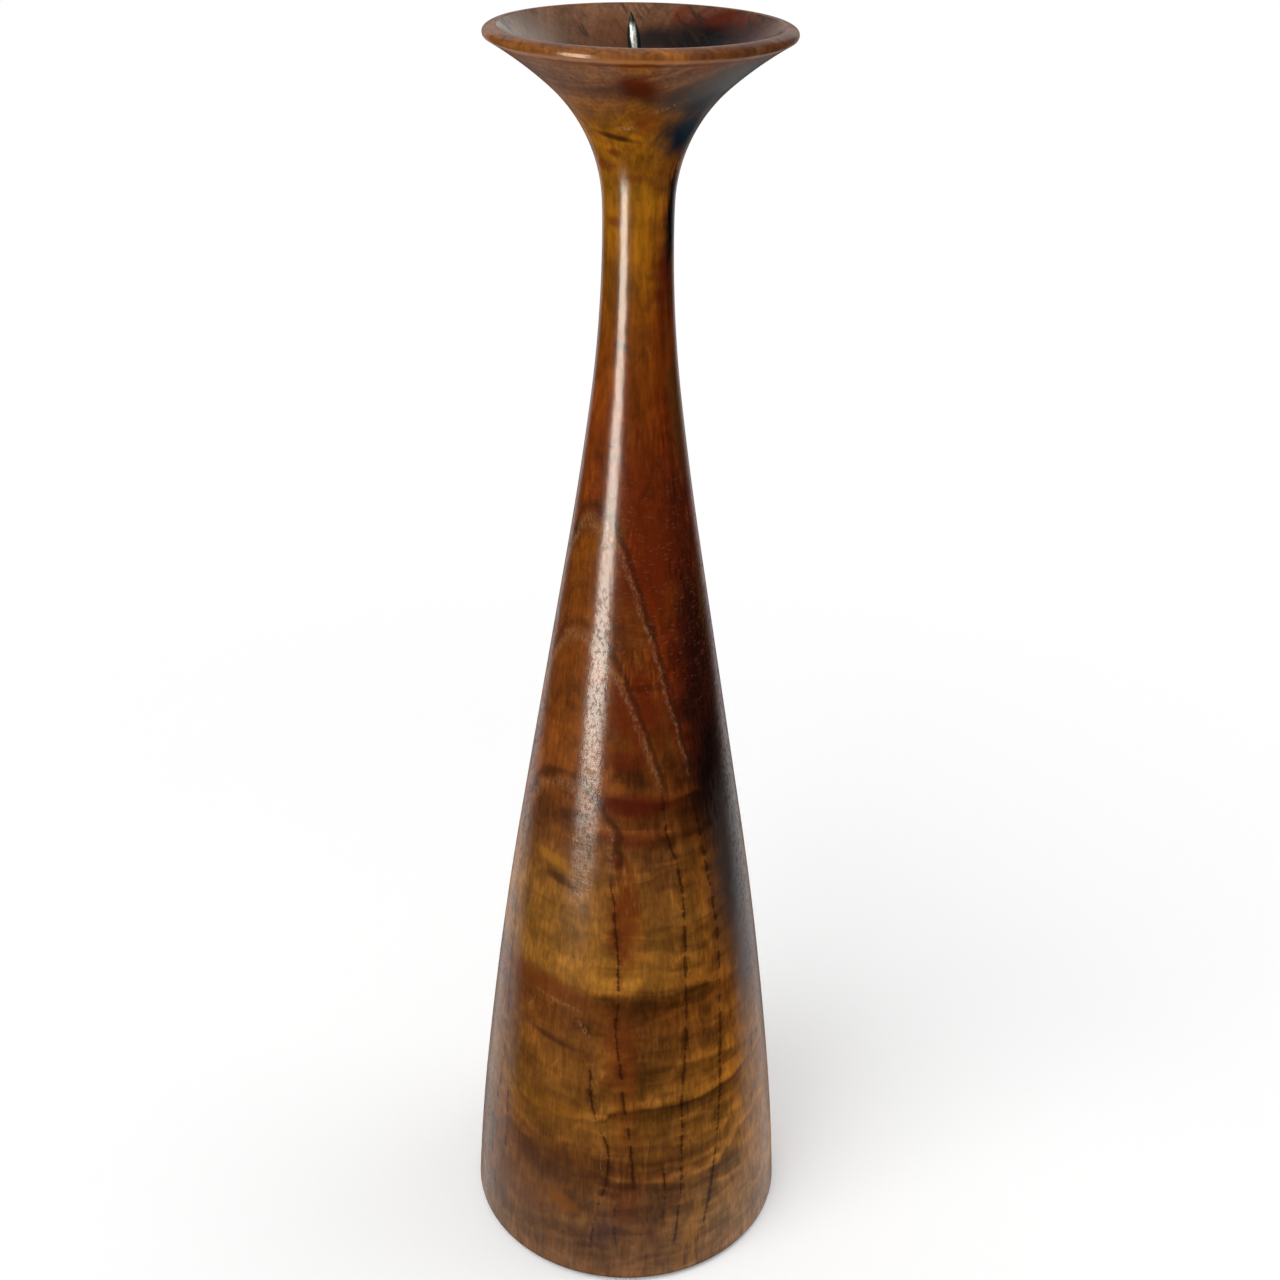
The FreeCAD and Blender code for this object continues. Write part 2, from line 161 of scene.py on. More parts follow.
# The steel's dark skin, which also stands for dark reflections on the flanks, and its painted highlight along
# the front and the back
STEEL_SKIN_AND_DARK_REFLECTION = [(0.25, (0.006, 0.010, 0.008)), (0.55, (0.016, 0.022, 0.018)), (0.75, (0.040, 0.038, 0.030))]
STEEL_PAINTED_HIGHLIGHT = [(0.30, (0.46, 0.47, 0.46)), (0.65, (0.90, 0.91, 0.89))]
FELT_TONES = [(0.28, (0.016, 0.020, 0.017)), (0.52, (0.034, 0.042, 0.035)), (0.78, (0.070, 0.082, 0.068))]
FELT_CLOUD = (0.024, 0.030, 0.024)
FELT_NAP = (0.120, 0.135, 0.115)


def colour_list(*stops):
    """Colour stops whose places are heights on the stand."""
    return [(height / STAND_HEIGHT, colour) for height, colour in stops]


# The left tones pass into the right tones round this angle
TONE_SIDE_ANGLE = 24.0
# Both tone lists are lighter and greyer at the foot, below about 20 mm: painted reflection of the floor
LEFT_TONES = colour_list(
    (0, (0.190, 0.084, 0.032)), (20, (0.175, 0.068, 0.018)), (42, (0.135, 0.046, 0.009)),
    (60, (0.190, 0.072, 0.009)), (82, (0.150, 0.050, 0.007)), (98, (0.130, 0.036, 0.004)),
    (105, (0.262, 0.104, 0.012)), (128, (0.245, 0.096, 0.014)), (142, (0.190, 0.066, 0.012)),
    (152, (0.172, 0.048, 0.008)), (175, (0.170, 0.044, 0.005)), (205, (0.172, 0.043, 0.004)),
    (234, (0.186, 0.048, 0.002)), (240, (0.160, 0.029, 0.002)), (268, (0.188, 0.037, 0.002)),
    (290, (0.225, 0.059, 0.002)), (302, (0.310, 0.100, 0.002)), (320, (0.345, 0.126, 0.003)),
    (337, (0.290, 0.100, 0.006)), (344, (0.200, 0.070, 0.016)), (350, (0.165, 0.066, 0.026)),
    (353, (0.230, 0.075, 0.012)), (355, (0.230, 0.080, 0.018)), (356, (0.150, 0.056, 0.024)),
)
RIGHT_TONES = colour_list(
    (0, (0.270, 0.130, 0.055)), (20, (0.265, 0.120, 0.032)), (40, (0.240, 0.095, 0.015)),
    (70, (0.212, 0.074, 0.007)), (98, (0.180, 0.055, 0.005)), (106, (0.190, 0.062, 0.006)),
    (135, (0.145, 0.046, 0.005)), (160, (0.125, 0.030, 0.003)), (185, (0.085, 0.014, 0.002)),
    (225, (0.085, 0.010, 0.001)), (262, (0.120, 0.016, 0.001)), (290, (0.150, 0.024, 0.001)),
    (315, (0.185, 0.055, 0.003)), (330, (0.120, 0.040, 0.005)), (338, (0.100, 0.036, 0.008)),
    (347, (0.105, 0.042, 0.017)), (352, (0.110, 0.046, 0.022)), (354, (0.150, 0.045, 0.012)),
    (356, (0.115, 0.048, 0.026)),
)
# Dish tones by height, darker towards the floor: painted shade deeper in the hollow
DISH_TONES_AND_SHADE = colour_list(
    (0, (0.050, 0.016, 0.006)), (340, (0.050, 0.016, 0.006)), (346, (0.090, 0.032, 0.012)),
    (352, (0.140, 0.058, 0.024)), (356, (0.165, 0.076, 0.038)),
)

# Curl bands, partly the curl figure and partly its painted sheen: height of each sharp edge, and how light
# the wood is just below and above it.
# They are strongest at one angle and end at a height.
CURLS_AND_SHEEN = [
    (20, 0.42, 0.60), (30, 0.42, 0.62), (38, 0.16, 0.95), (47, 0.34, 0.82), (57, 0.34, 0.70),
    (65, 0.06, 1.00), (77, 0.30, 0.85), (88, 0.46, 0.85), (103, 0.16, 0.86), (114, 0.58, 0.56),
    (139, 0.50, 0.66), (150, 0.22, 0.55), (162, 0.06, 0.55), (171, 0.16, 0.55),
]
CURL_EDGE = 0.8
CURL_ANGLE = 17.0
CURL_TOP = 190.0

# Dark thin streaks: half width and the line each follows, as (angle, height), fading at both ends
FULL_TURN = 360.0
STREAK_FADE_SHARE = 0.012
STREAKS = [
    (0.38, [(3, 36), (2, 50), (-1, 66), (-3, 80), (-5, 90), (-4, 102), (-6, 122), (-9, 138)]),
    (0.42, [(18, 12), (21, 30), (22, 50), (23, 70), (25, 84), (26, 102), (25, 140), (20, 150), (18, 162)]),
    (0.46, [(30, 15), (34, 30), (40, 60), (43, 90), (45, 115), (43, 130), (40, 145), (36, 164)]),
    (0.28, [(-13, 10), (-11, 25), (-7, 40), (-7, 50), (-13, 62), (-15, 78)]),
    (0.28, [(14, 22), (15, 34), (14, 44)]),
    (0.36, [(-64, 22), (-66, 36), (-62, 60), (-66, 104), (-68, 116)]),
    (0.30, [(-54, 24), (-55, 40), (-56, 58)]),
    (0.32, [(60, 48), (62, 62), (64, 74)]),
    (0.24, [(-3, 14), (-4, 24), (-3, 34)]),
    (0.50, [(150, 10), (154, 60), (149, 110), (152, 160)]),
    (0.60, [(118, 14), (113, 70), (116, 120), (108, 176)]),
    (0.55, [(-128, 12), (-122, 66), (-126, 130), (-120, 170)]),
]

# Light lines that follow the growth rings: distance from the pith, half width, lowest and highest place
RING_LINES = [(43.7, 0.24, 166, 240), (48.7, 0.22, 164, 207), (55.8, 0.20, 138, 166)]
RING_SHADOW_STEP = 0.7

# Patches: angle, height, half width, half height, tilt, colour, strength. Some are painted reflections,
# highlights and shade, as the notes in the table say.
# They reach into the wood to a depth. Those over a half height are torn or end in fibres.
PATCH_DEPTH = 6.0
TORN_ABOVE = 2.0
FIBROUS_ABOVE = 11.0
PATCHES = [
    # Painted dark reflection on the right of the neck
    (64, 312, 4.5, 19, 0, BLACK, 1.00),
    # Painted slate and steel grey reflections on the right of the flare, in this row and the next
    (30, 343, 11, 8, 0, PAINTED_SLATE_REFLECTION, 0.75),
    (58, 347, 20, 9, 0, PAINTED_GREY_REFLECTION, 0.92),
    (6, 337, 5.5, 6, 0, RED_BROWN, 0.65),
    # Painted navy reflection under the right of the flare, in this row and the next
    (50, 333, 11, 10, 0, PAINTED_NAVY_REFLECTION, 1.00),
    (56, 341, 11, 6, 0, PAINTED_NAVY_REFLECTION, 0.75),
    # Painted dark reflection on the right of the neck
    (62, 296, 4.5, 12, 0, BLACK, 0.60),
    (46, 298, 4, 10, 0, DARK_RED, 0.60),
    (64, 262, 6, 40, 0, OLIVE, 0.50),
    # Painted dark reflection down the right of the column, in this row and the next four
    (46, 222, 9, 40, 0, BLACK, 0.55),
    (54, 190, 13, 50, 4, BLACK, 0.78),
    (56, 162, 14, 36, 8, BLACK, 0.92),
    (62, 138, 14, 40, 8, PAINTED_SLATE_REFLECTION, 0.92),
    (66, 112, 12, 44, 0, PAINTED_SLATE_REFLECTION, 0.80),
    (86, 92, 11, 60, -4, DARK_BROWN, 0.55),
    (84, 170, 14, 70, 0, DARK_BROWN, 0.60),
    (100, 150, 12, 60, 0, DARK_BROWN, 0.40),
    (70, 214, 4, 24, 0, OLIVE, 0.45),
    (-3, 124, 7, 26, 0, RED_BROWN, 0.85),
    (-3, 84, 6, 22, 0, RED_BROWN, 0.50),
    (0, 30, 7, 15, 0, DARK_RED, 0.35),
    (0, 72, 6, 46, 0, RED_BROWN, 0.42),
    (8, 250, 8, 16, 0, DARK_RED, 0.35),
    (16, 130, 6, 18, 0, BROWN, 0.40),
    (4, 188, 12, 18, 0, MAROON, 0.90),
    # Painted highlight: a long bright line along the lip's front
    (-10, 353.5, 33, 0.75, 0, PAINTED_LIP_HIGHLIGHT, 0.70),
    # Painted shade just below the lip's edge
    (4, 352.4, 40, 0.7, 0, DARK_RED, 0.65),
    (14, 226, 13, 22, 30, MAROON, 0.80),
    (2, 160, 18, 5, 0, DARK_RED, 0.75),
    (-2, 150, 13, 4, 0, DARK_RED, 0.55),
    (-4, 172, 9, 4, 0, DARK_RED, 0.55),
    (-7, 143, 4, 4, 0, DARK_RED, 0.70),
    (9, 193, 7, 1.8, 0, BLACK, 0.30),
    (-42, 139, 11, 2.8, 8, GOLD, 0.70),
    (-36, 134, 8, 2.4, 4, DARK_BROWN, 0.75),
    (-52, 151, 10, 2.4, 0, DARK_BROWN, 0.25),
    (-30, 60, 17, 5, -8, AMBER, 0.35),
    (-32, 40, 22, 11, 0, DARK_BROWN, 0.60),
    (-44, 26, 16, 10, 0, BROWN, 0.50),
    (-25, 28, 9, 4.5, 6, ORANGE, 0.75),
    (-8, 20, 7, 8, 0, PURPLE, 0.60),
    (-25, 16, 24, 4, -6, DARK_BROWN, 0.28),
    (26, 16, 4.5, 14, 28, GOLD, 0.55),
    (-33, 83, 12, 1.5, 8, DARK_BROWN, 0.60),
    (-40, 100, 22, 4.5, 0, RED_BROWN, 0.55),
    (-47, 325, 4.5, 2.2, 0, RED_BROWN, 0.70),
    (-40, 312, 4, 2, 0, RED_BROWN, 0.70),
    (-30, 329, 3, 1.5, 0, RED_BROWN, 0.80),
    (-24, 333, 8, 1.1, 10, DARK_BROWN, 0.85),
    (-10, 335.5, 3.4, 0.9, -4, CREAM, 0.70),
    (-6, 323, 5, 1.6, 0, RED_BROWN, 0.50),
    (-23, 282, 3, 1.6, 0, DARK_BROWN, 0.80),
    (-28, 256.5, 1.2, 0.6, 0, DARK_BROWN, 0.90),
    (-24, 231, 2.2, 0.8, 0, DARK_BROWN, 0.85),
    (-1, 346.5, 8, 6, 8, DARK_RED, 0.85),
    (-4, 345, 17, 3.4, 0, DARK_BROWN, 0.50),
    (-46, 347, 11, 5, 0, DARK_BROWN, 0.40),
    # Painted lavender sheen on the left of the flare
    (-62, 350, 10, 4, 0, PURPLE, 0.35),
    (20, 341, 6, 0.7, -26, CREAM, 0.30),
    (-32, 96, 13, 1.1, 6, TAN, 0.40),
    (-19, 90, 1.3, 7, -30, TAN, 0.45),
    (-47, 90, 1.3, 5, 20, TAN, 0.35),
    (-14, 70, 0.8, 14, -6, CREAM, 0.22),
    (-9, 44, 0.8, 14, -2, CREAM, 0.22),
    (150, 250, 11, 30, 0, DARK_BROWN, 0.60),
    (-140, 130, 18, 26, 0, RED_BROWN, 0.60),
    (175, 70, 22, 16, 6, AMBER, 0.50),
    (110, 60, 20, 10, -6, DARK_BROWN, 0.50),
    (-100, 210, 10, 20, 0, ORANGE, 0.50),
]

# Patches on the dish wall, whose angles go on round the back. Most are painted shade, dark reflections and
# sheen, as noted.
DISH_PATCHES = [
    # Painted shade and dark reflection on the right of the dish, in this row and the next seven
    (112, 350, 34, 11, 0, DARK_BROWN, 0.85),
    (130, 352, 22, 7, 0, DARK_RED, 0.70),
    (142, 349, 17, 6, 0, BLACK, 1.00),
    (166, 348.5, 14, 4, 0, BLACK, 0.75),
    (118, 351.5, 10, 4.5, 0, BLACK, 0.60),
    (138, 355, 9, 2.6, 30, DARK_RED, 0.55),
    (160, 354, 5, 3.5, 34, MAROON, 0.60),
    (172, 349, 9, 3, 0, BLACK, 0.55),
    # Painted sheen on the left of the dish
    (-100, 353, 24, 9, 0, PAINTED_BEIGE_SHEEN, 0.42),
    (-165, 350, 9, 4, 0, BROWN, 0.55),
    (60, 350, 14, 6, 0, DARK_BROWN, 0.60),
]

# Tilt of the dark stripes on the dish wall
STRIPE_TILT = math.radians(38)

# The growth rings are circles round a pith: its direction, its distance from the axis (behind it, as
# the sign says), and how steeply it leans below its bend
PITH_ANGLE = math.radians(-40)
PITH_OFFSET = -28.0
PITH_LEAN = 0.17
PITH_BEND_HEIGHT = 150.0

# The red heart within the rings: how far it goes from the pith, and how strong it is at the most
HEART_RADIUS = 44.3
HEART_SHARE = 0.9

# The floor, whose far part is pure white, and the curtain, whose section is (radius, height)
FLOOR_HALF_WIDTH = 6.0
FLOOR_PAINT = (0.90, 0.90, 0.90)
FLOOR_LIFT = 0.20
FLOOR_FADE_START = 0.16
FLOOR_FADE_END = 0.48
CURTAIN_FIRST = math.radians(-142)
CURTAIN_LAST = math.radians(150)
CURTAIN_STEPS = 60
CURTAIN_SECTION = [(0.049, 0.002), (0.46, 0.002), (0.46, 1.1)]
CURTAIN_COLOUR = (0.012, 0.011, 0.010)

# The strip light: its parts are (lowest, highest, radiance)
LAMP_TARGET = (0, 0, 0.15)
STRIP_ANGLE = math.radians(-45)
STRIP_REACH = 0.40
STRIP_WIDTH = 0.150
STRIP_COLOUR = (1.0, 0.99, 0.88)
STRIP_PARTS = [(0.150, 0.520, 60.0), (0.062, 0.150, 56.0), (0.008, 0.062, 17.0)]

# The camera: millimetres of lens, metres, and angles
CAMERA_LENS = 48.10
CAMERA_PLACE = (0.001925, -0.412676, 0.416838)
CAMERA_TILT = math.radians(61.792)
CAMERA_ROLL = math.radians(0.856)


def bend(outline, direction, end, steps=None):
    """Add the arc that leaves the outline's last point in a direction and reaches the end."""
    start = outline[-1]
    chord = end - start
    half_turn = math.atan2(chord.y, chord.x) - direction
    reach = chord.length / (2 * math.sin(half_turn))
    steps = steps or max(4, round(chord.length / ARC_STEP))
    for step in range(1, steps + 1):
        turn = 2 * half_turn * step / steps
        heading = direction + turn / 2
        way = 2 * reach * math.sin(turn / 2)
        outline.append(start + Vector((math.cos(heading), math.sin(heading))) * way)
    return direction + 2 * half_turn


def sweep(centre, radius, start, end, steps):
    """Points of an arc round a centre, from one angle to another."""
    angles = [start + (end - start) * step / steps for step in range(steps + 1)]
    return [centre + Vector((math.cos(angle), math.sin(angle))) * radius for angle in angles]


def heading_to(start, end):
    """The angle of the way from one point of a half section to another."""
    return math.atan2(end.y - start.y, end.x - start.x)


def upper_crossing(first, first_radius, second, second_radius):
    """The higher of the two points where two circles cross."""
    gap = second - first
    along = (first_radius**2 - second_radius**2 + gap.length**2) / (2 * gap.length)
    across = math.sqrt(first_radius**2 - along**2)
    middle = first + gap.normalized() * along
    side = Vector((-gap.y, gap.x)).normalized() * across
    return max(middle + side, middle - side, key=lambda place: place.y)


def touching_point(start, direction, centre, radius):
    """Where the arc that leaves start in a direction touches a circle that it curves round."""
    side = Vector((math.sin(direction), -math.cos(direction)))
    offset = centre - start
    reach = (offset.length**2 - radius**2) / (2 * (offset.dot(side) - radius))
    return centre + (centre - (start + side * reach)).normalized() * radius


def column_outline():
    """The wall from the foot up to the neck."""
    outline = [Vector((NECK_RADIUS, NECK_HEIGHT))]
    direction = DOWN
    spread = FOOT_RADIUS - NECK_RADIUS

    def joint(height_share, radius_share):
        return Vector((NECK_RADIUS + radius_share * spread, height_share * NECK_HEIGHT))

    for shares in ABOVE_TAPER_SHARES:
        direction = bend(outline, direction, joint(*shares))
    taper_start = outline[-1]
    drop = taper_start.y - TAPER_END_SHARE * NECK_HEIGHT
    taper = Vector((drop / math.tan(-direction), -drop))
    steps = round(taper.length / ARC_STEP)
    outline += [taper_start + taper * (step / steps) for step in range(1, steps + 1)]
    for shares in BELOW_TAPER_SHARES:
        direction = bend(outline, direction, joint(*shares))
    bend(outline, direction, Vector((FOOT_RADIUS, FOOT_GAP + FOOT_CHAMFER)))
    return outline[::-1]


def flare_outline(edge_centre):
    """The wall from the neck up to where it touches the lip's outer edge."""
    outline = [Vector((NECK_RADIUS, NECK_HEIGHT))]
    direction = UP
    for height_share, radius_share in FLARE_SHARES:
        radius = NECK_RADIUS + radius_share * (RIM_RADIUS - NECK_RADIUS)
        height = NECK_HEIGHT + height_share * (STAND_HEIGHT - NECK_HEIGHT)
        direction = bend(outline, direction, Vector((radius, height)))
    touch = touching_point(outline[-1], direction, edge_centre, LIP_EDGE_RADIUS)
    bend(outline, direction, touch, steps=FLARE_END_STEPS)
    return outline[1:]


def stand_outline():
    """The stand's half section in three rows: the underside, the wall and lip, and the dish."""
    crest_radius = RIM_RADIUS - LIP_WIDTH
    edge_reach = RIM_RADIUS - LIP_EDGE_RADIUS
    edge_rise = math.sqrt((LIP_TOP_RADIUS - LIP_EDGE_RADIUS) ** 2 - (edge_reach - crest_radius) ** 2)
    top_centre = Vector((crest_radius, STAND_HEIGHT - LIP_TOP_RADIUS))
    edge_centre = Vector((edge_reach, top_centre.y + edge_rise))
    inner_centre = Vector((crest_radius, STAND_HEIGHT - LIP_INNER_RADIUS))
    blend_centre = Vector((FLOOR_RADIUS, FLOOR_HEIGHT + DISH_BLEND_RADIUS))
    dish_centre = upper_crossing(
        inner_centre,
        DISH_WALL_RADIUS + LIP_INNER_RADIUS,
        blend_centre,
        DISH_WALL_RADIUS - DISH_BLEND_RADIUS,
    )
    flare = flare_outline(edge_centre)
    flare_turn = heading_to(edge_centre, flare[-1])
    lip_turn = heading_to(top_centre, edge_centre)
    inner_turn = heading_to(inner_centre, dish_centre)
    blend_turn = heading_to(dish_centre, blend_centre)
    wall_turn = heading_to(dish_centre, inner_centre)

    underside = [
        Vector((0, RECESS_ROOF)),
        Vector((RECESS_RADIUS / 2, RECESS_ROOF)),
        Vector((RECESS_RADIUS, RECESS_ROOF)),
        Vector((RECESS_RADIUS, FOOT_GAP + RECESS_EASE)),
        Vector((RECESS_RADIUS + RECESS_EASE, FOOT_GAP)),
        Vector((FOOT_RADIUS - FOOT_CHAMFER - 2 * FOOT_EASE, FOOT_GAP)),
        Vector((FOOT_RADIUS - FOOT_CHAMFER + FOOT_EASE, FOOT_GAP + FOOT_EASE)),
    ]
    wall = column_outline() + flare
    wall += sweep(edge_centre, LIP_EDGE_RADIUS, flare_turn, lip_turn, LIP_EDGE_STEPS)[1:]
    wall += sweep(top_centre, LIP_TOP_RADIUS, lip_turn, UP, LIP_TOP_STEPS)[1:]
    wall += sweep(inner_centre, LIP_INNER_RADIUS, UP, inner_turn, LIP_INNER_STEPS)[1:]
    dish = sweep(dish_centre, DISH_WALL_RADIUS, wall_turn, blend_turn, DISH_WALL_STEPS)[1:]
    dish += sweep(blend_centre, DISH_BLEND_RADIUS, blend_turn, DOWN, DISH_BLEND_STEPS)[1:]
    return underside, wall, dish


def ring(radius, height, count, centre_x=0.0, stretch=1.0):
    """One ring of points round the axis, in metres, or a single point in the middle."""
    if radius == 0:
        return [Vector((centre_x, 0, height)) * MM]
    places = []
    for step in range(count):
        angle = 2 * math.pi * step / count
        x = centre_x + radius * stretch * math.cos(angle)
        places.append(Vector((x, radius * math.sin(angle), height)) * MM)
    return places


def add_object(name, data):
    made = bpy.data.objects.new(name, data)
    bpy.context.scene.collection.objects.link(made)
    return made


def add_faces(name, corners, faces):
    mesh = bpy.data.meshes.new(name)
    mesh.from_pydata(corners, [], faces)
    return add_object(name, mesh)


def skin(name, rings, bands):
    """A closed mesh over a row of rings. Each band between two rings has its material's number."""
    mesh = bpy.data.meshes.new(name)
    work = bmesh.new()
    rows = [[work.verts.new(place) for place in places] for places in rings]
    for lower, upper, band in zip(rows, rows[1:], bands):
        count = max(len(lower), len(upper))
        for step in range(count):
            after = (step + 1) % count
            if len(lower) == 1:
                corners = [lower[0], upper[after], upper[step]]
            elif len(upper) == 1:
                corners = [lower[step], lower[after], upper[0]]
            else:
                corners = [lower[step], lower[after], upper[after], upper[step]]
            work.faces.new(corners).material_index = band
    work.to_mesh(mesh)
    work.free()
    mesh.shade_smooth()
    mesh.set_sharp_from_angle(angle=SHARP_ANGLE)
    return add_object(name, mesh)


class Graph:
    """A material and short ways to add its nodes."""

    def __init__(self, name):
        self.material = bpy.data.materials.new(name)
        self.material.use_nodes = True
        self.tree = self.material.node_tree
        self.tree.nodes.clear()
        self.output = self.tree.nodes.new("ShaderNodeOutputMaterial")

    def feed(self, socket, given):
        if isinstance(given, bpy.types.NodeSocket):
            self.tree.links.new(given, socket)
        elif given is not None:
            if socket.type == "RGBA" and len(given) == 3:
                given = (*given, 1.0)
            socket.default_value = given

    def node(self, kind, *given, output=0, **settings):
        made = self.tree.nodes.new("ShaderNode" + kind)
        for name, setting in settings.items():
            setattr(made, name, setting)
        for socket, source in zip(made.inputs, given):
            self.feed(socket, source)
        return made.outputs[output]

    def math(self, operation, *given):
        return self.node("Math", *given, operation=operation)

    def plus(self, first, second):
        return self.math("ADD", first, second)

    def minus(self, first, second):
        return self.math("SUBTRACT", first, second)

    def product(self, *values):
        """All the values multiplied together."""
        result = values[0]
        for value in values[1:]:
            result = self.math("MULTIPLY", result, value)
        return result

    def rest(self, share):
        """What a share leaves over of one."""
        return self.minus(1.0, share)

    def distance(self, x, y):
        return self.math("SQRT", self.plus(self.product(x, x), self.product(y, y)))

    def axis(self, place, number):
        return self.node("SeparateXYZ", place, output=number)

    def smooth(self, value, low, high, first=0.0, last=1.0):
        """Turn a value into first at low, last at high, and softly between."""
        return self.node("MapRange", value, low, high, first, last, interpolation_type="SMOOTHSTEP")

    def mix(self, share, first, second, blend="MIX"):
        made = self.tree.nodes.new("ShaderNodeMix")
        made.data_type = "RGBA"
        made.blend_type = blend
        self.feed(made.inputs[0], share)
        self.feed(made.inputs[6], first)
        self.feed(made.inputs[7], second)
        return made.outputs[2]

    def shade(self, colour, amount):
        """Make a colour darker or lighter: it stays as it is where the amount is one."""
        return self.mix(1.0, colour, self.node("CombineColor", amount, amount, amount), "MULTIPLY")

    def zone(self, value, low, rise, fall, high):
        """One from rise to fall, and softly down to nothing at low and at high."""
        return self.product(self.smooth(value, low, rise), self.smooth(value, high, fall))

    def stretch(self, place, x, y, z):
        return self.node("VectorMath", place, (x, y, z), operation="MULTIPLY")

    def noise(self, place, scale, detail=2.0, roughness=0.5, distortion=0.0, shift=0.0):
        """Cloudy noise. Its scale is how many clouds there are to a millimetre."""
        if shift:
            place = self.node("VectorMath", place, (shift, shift, shift), operation="ADD")
        made = self.tree.nodes.new("ShaderNodeTexNoise")
        self.feed(made.inputs["Vector"], place)
        made.inputs["Scale"].default_value = scale
        made.inputs["Detail"].default_value = detail
        made.inputs["Roughness"].default_value = roughness
        made.inputs["Distortion"].default_value = distortion
        return made.outputs[0]

    def swing(self, value, amount):
        """Noise turned into a swing of so much to each side of zero."""
        return self.product(self.minus(value, 0.5), 2 * amount)

    def ramp(self, value, stops):
        made = self.tree.nodes.new("ShaderNodeValToRGB")
        elements = made.color_ramp.elements
        while len(elements) > 1:
            elements.remove(elements[-1])
        for number, (place, colour) in enumerate(stops):
            element = elements[0] if number == 0 else elements.new(place)
            element.position = place
            if not isinstance(colour, tuple):
                colour = (colour, colour, colour)
            element.color = (*colour, 1.0)
        self.feed(made.inputs[0], value)
        return made.outputs[0]

    def curve(self, value, places):
        """A smooth line through (value, result) places, both from 0 to 1."""
        made = self.tree.nodes.new("ShaderNodeFloatCurve")
        line = made.mapping.curves[0]
        line.points[0].location = places[0]
        line.points[1].location = places[-1]
        for place in places[1:-1]:
            line.points.new(*place)
        made.mapping.update()
        self.feed(made.inputs["Value"], value)
        return made.outputs[0]

    def millimetres(self):
        """The place on the object, in millimetres."""
        place = self.node("TexCoord", output=3)
        return self.node("VectorMath", place, (1000.0, 1000.0, 1000.0), operation="MULTIPLY")

    def bump(self, height, distance, strength=1.0, normal=None):
        made = self.tree.nodes.new("ShaderNodeBump")
        made.inputs["Strength"].default_value = strength
        made.inputs["Distance"].default_value = distance
        self.feed(made.inputs["Height"], height)
        self.feed(made.inputs["Normal"], normal)
        return made.outputs[0]

    def finish(self, **sockets):
        """Add the shader with its sockets, named with underscores for spaces."""
        shader = self.tree.nodes.new("ShaderNodeBsdfPrincipled")
        for name, given in sockets.items():
            self.feed(shader.inputs[name.replace("_", " ")], given)
        self.tree.links.new(shader.outputs[0], self.output.inputs[0])
        return self.material


def wall_radius(height, wall):
    """How far the wall stands from the axis at a height."""
    for lower, upper in zip(wall, wall[1:]):
        if lower.y <= height <= upper.y and upper.y > lower.y:
            return lower.x + (upper.x - lower.x) * (height - lower.y) / (upper.y - lower.y)
    return RIM_RADIUS


def patch_mask(graph, place, wall, angle, height, half_width, half_height, tilt):
    """One at a place on the wall, fading to nothing at the patch's edge."""
    turn = math.radians(angle)
    reach = wall_radius(height, wall)
    middle = (reach * math.sin(turn), -reach * math.cos(turn), height)
    sizes = (half_width, max(half_width, PATCH_DEPTH), half_height)
    local = graph.node("Mapping", place, middle, (0, math.radians(tilt), turn), sizes, vector_type="TEXTURE")
    ball = graph.node("TexGradient", local, gradient_type="SPHERICAL", output=1)
    return graph.smooth(ball, 0.0, 0.75)


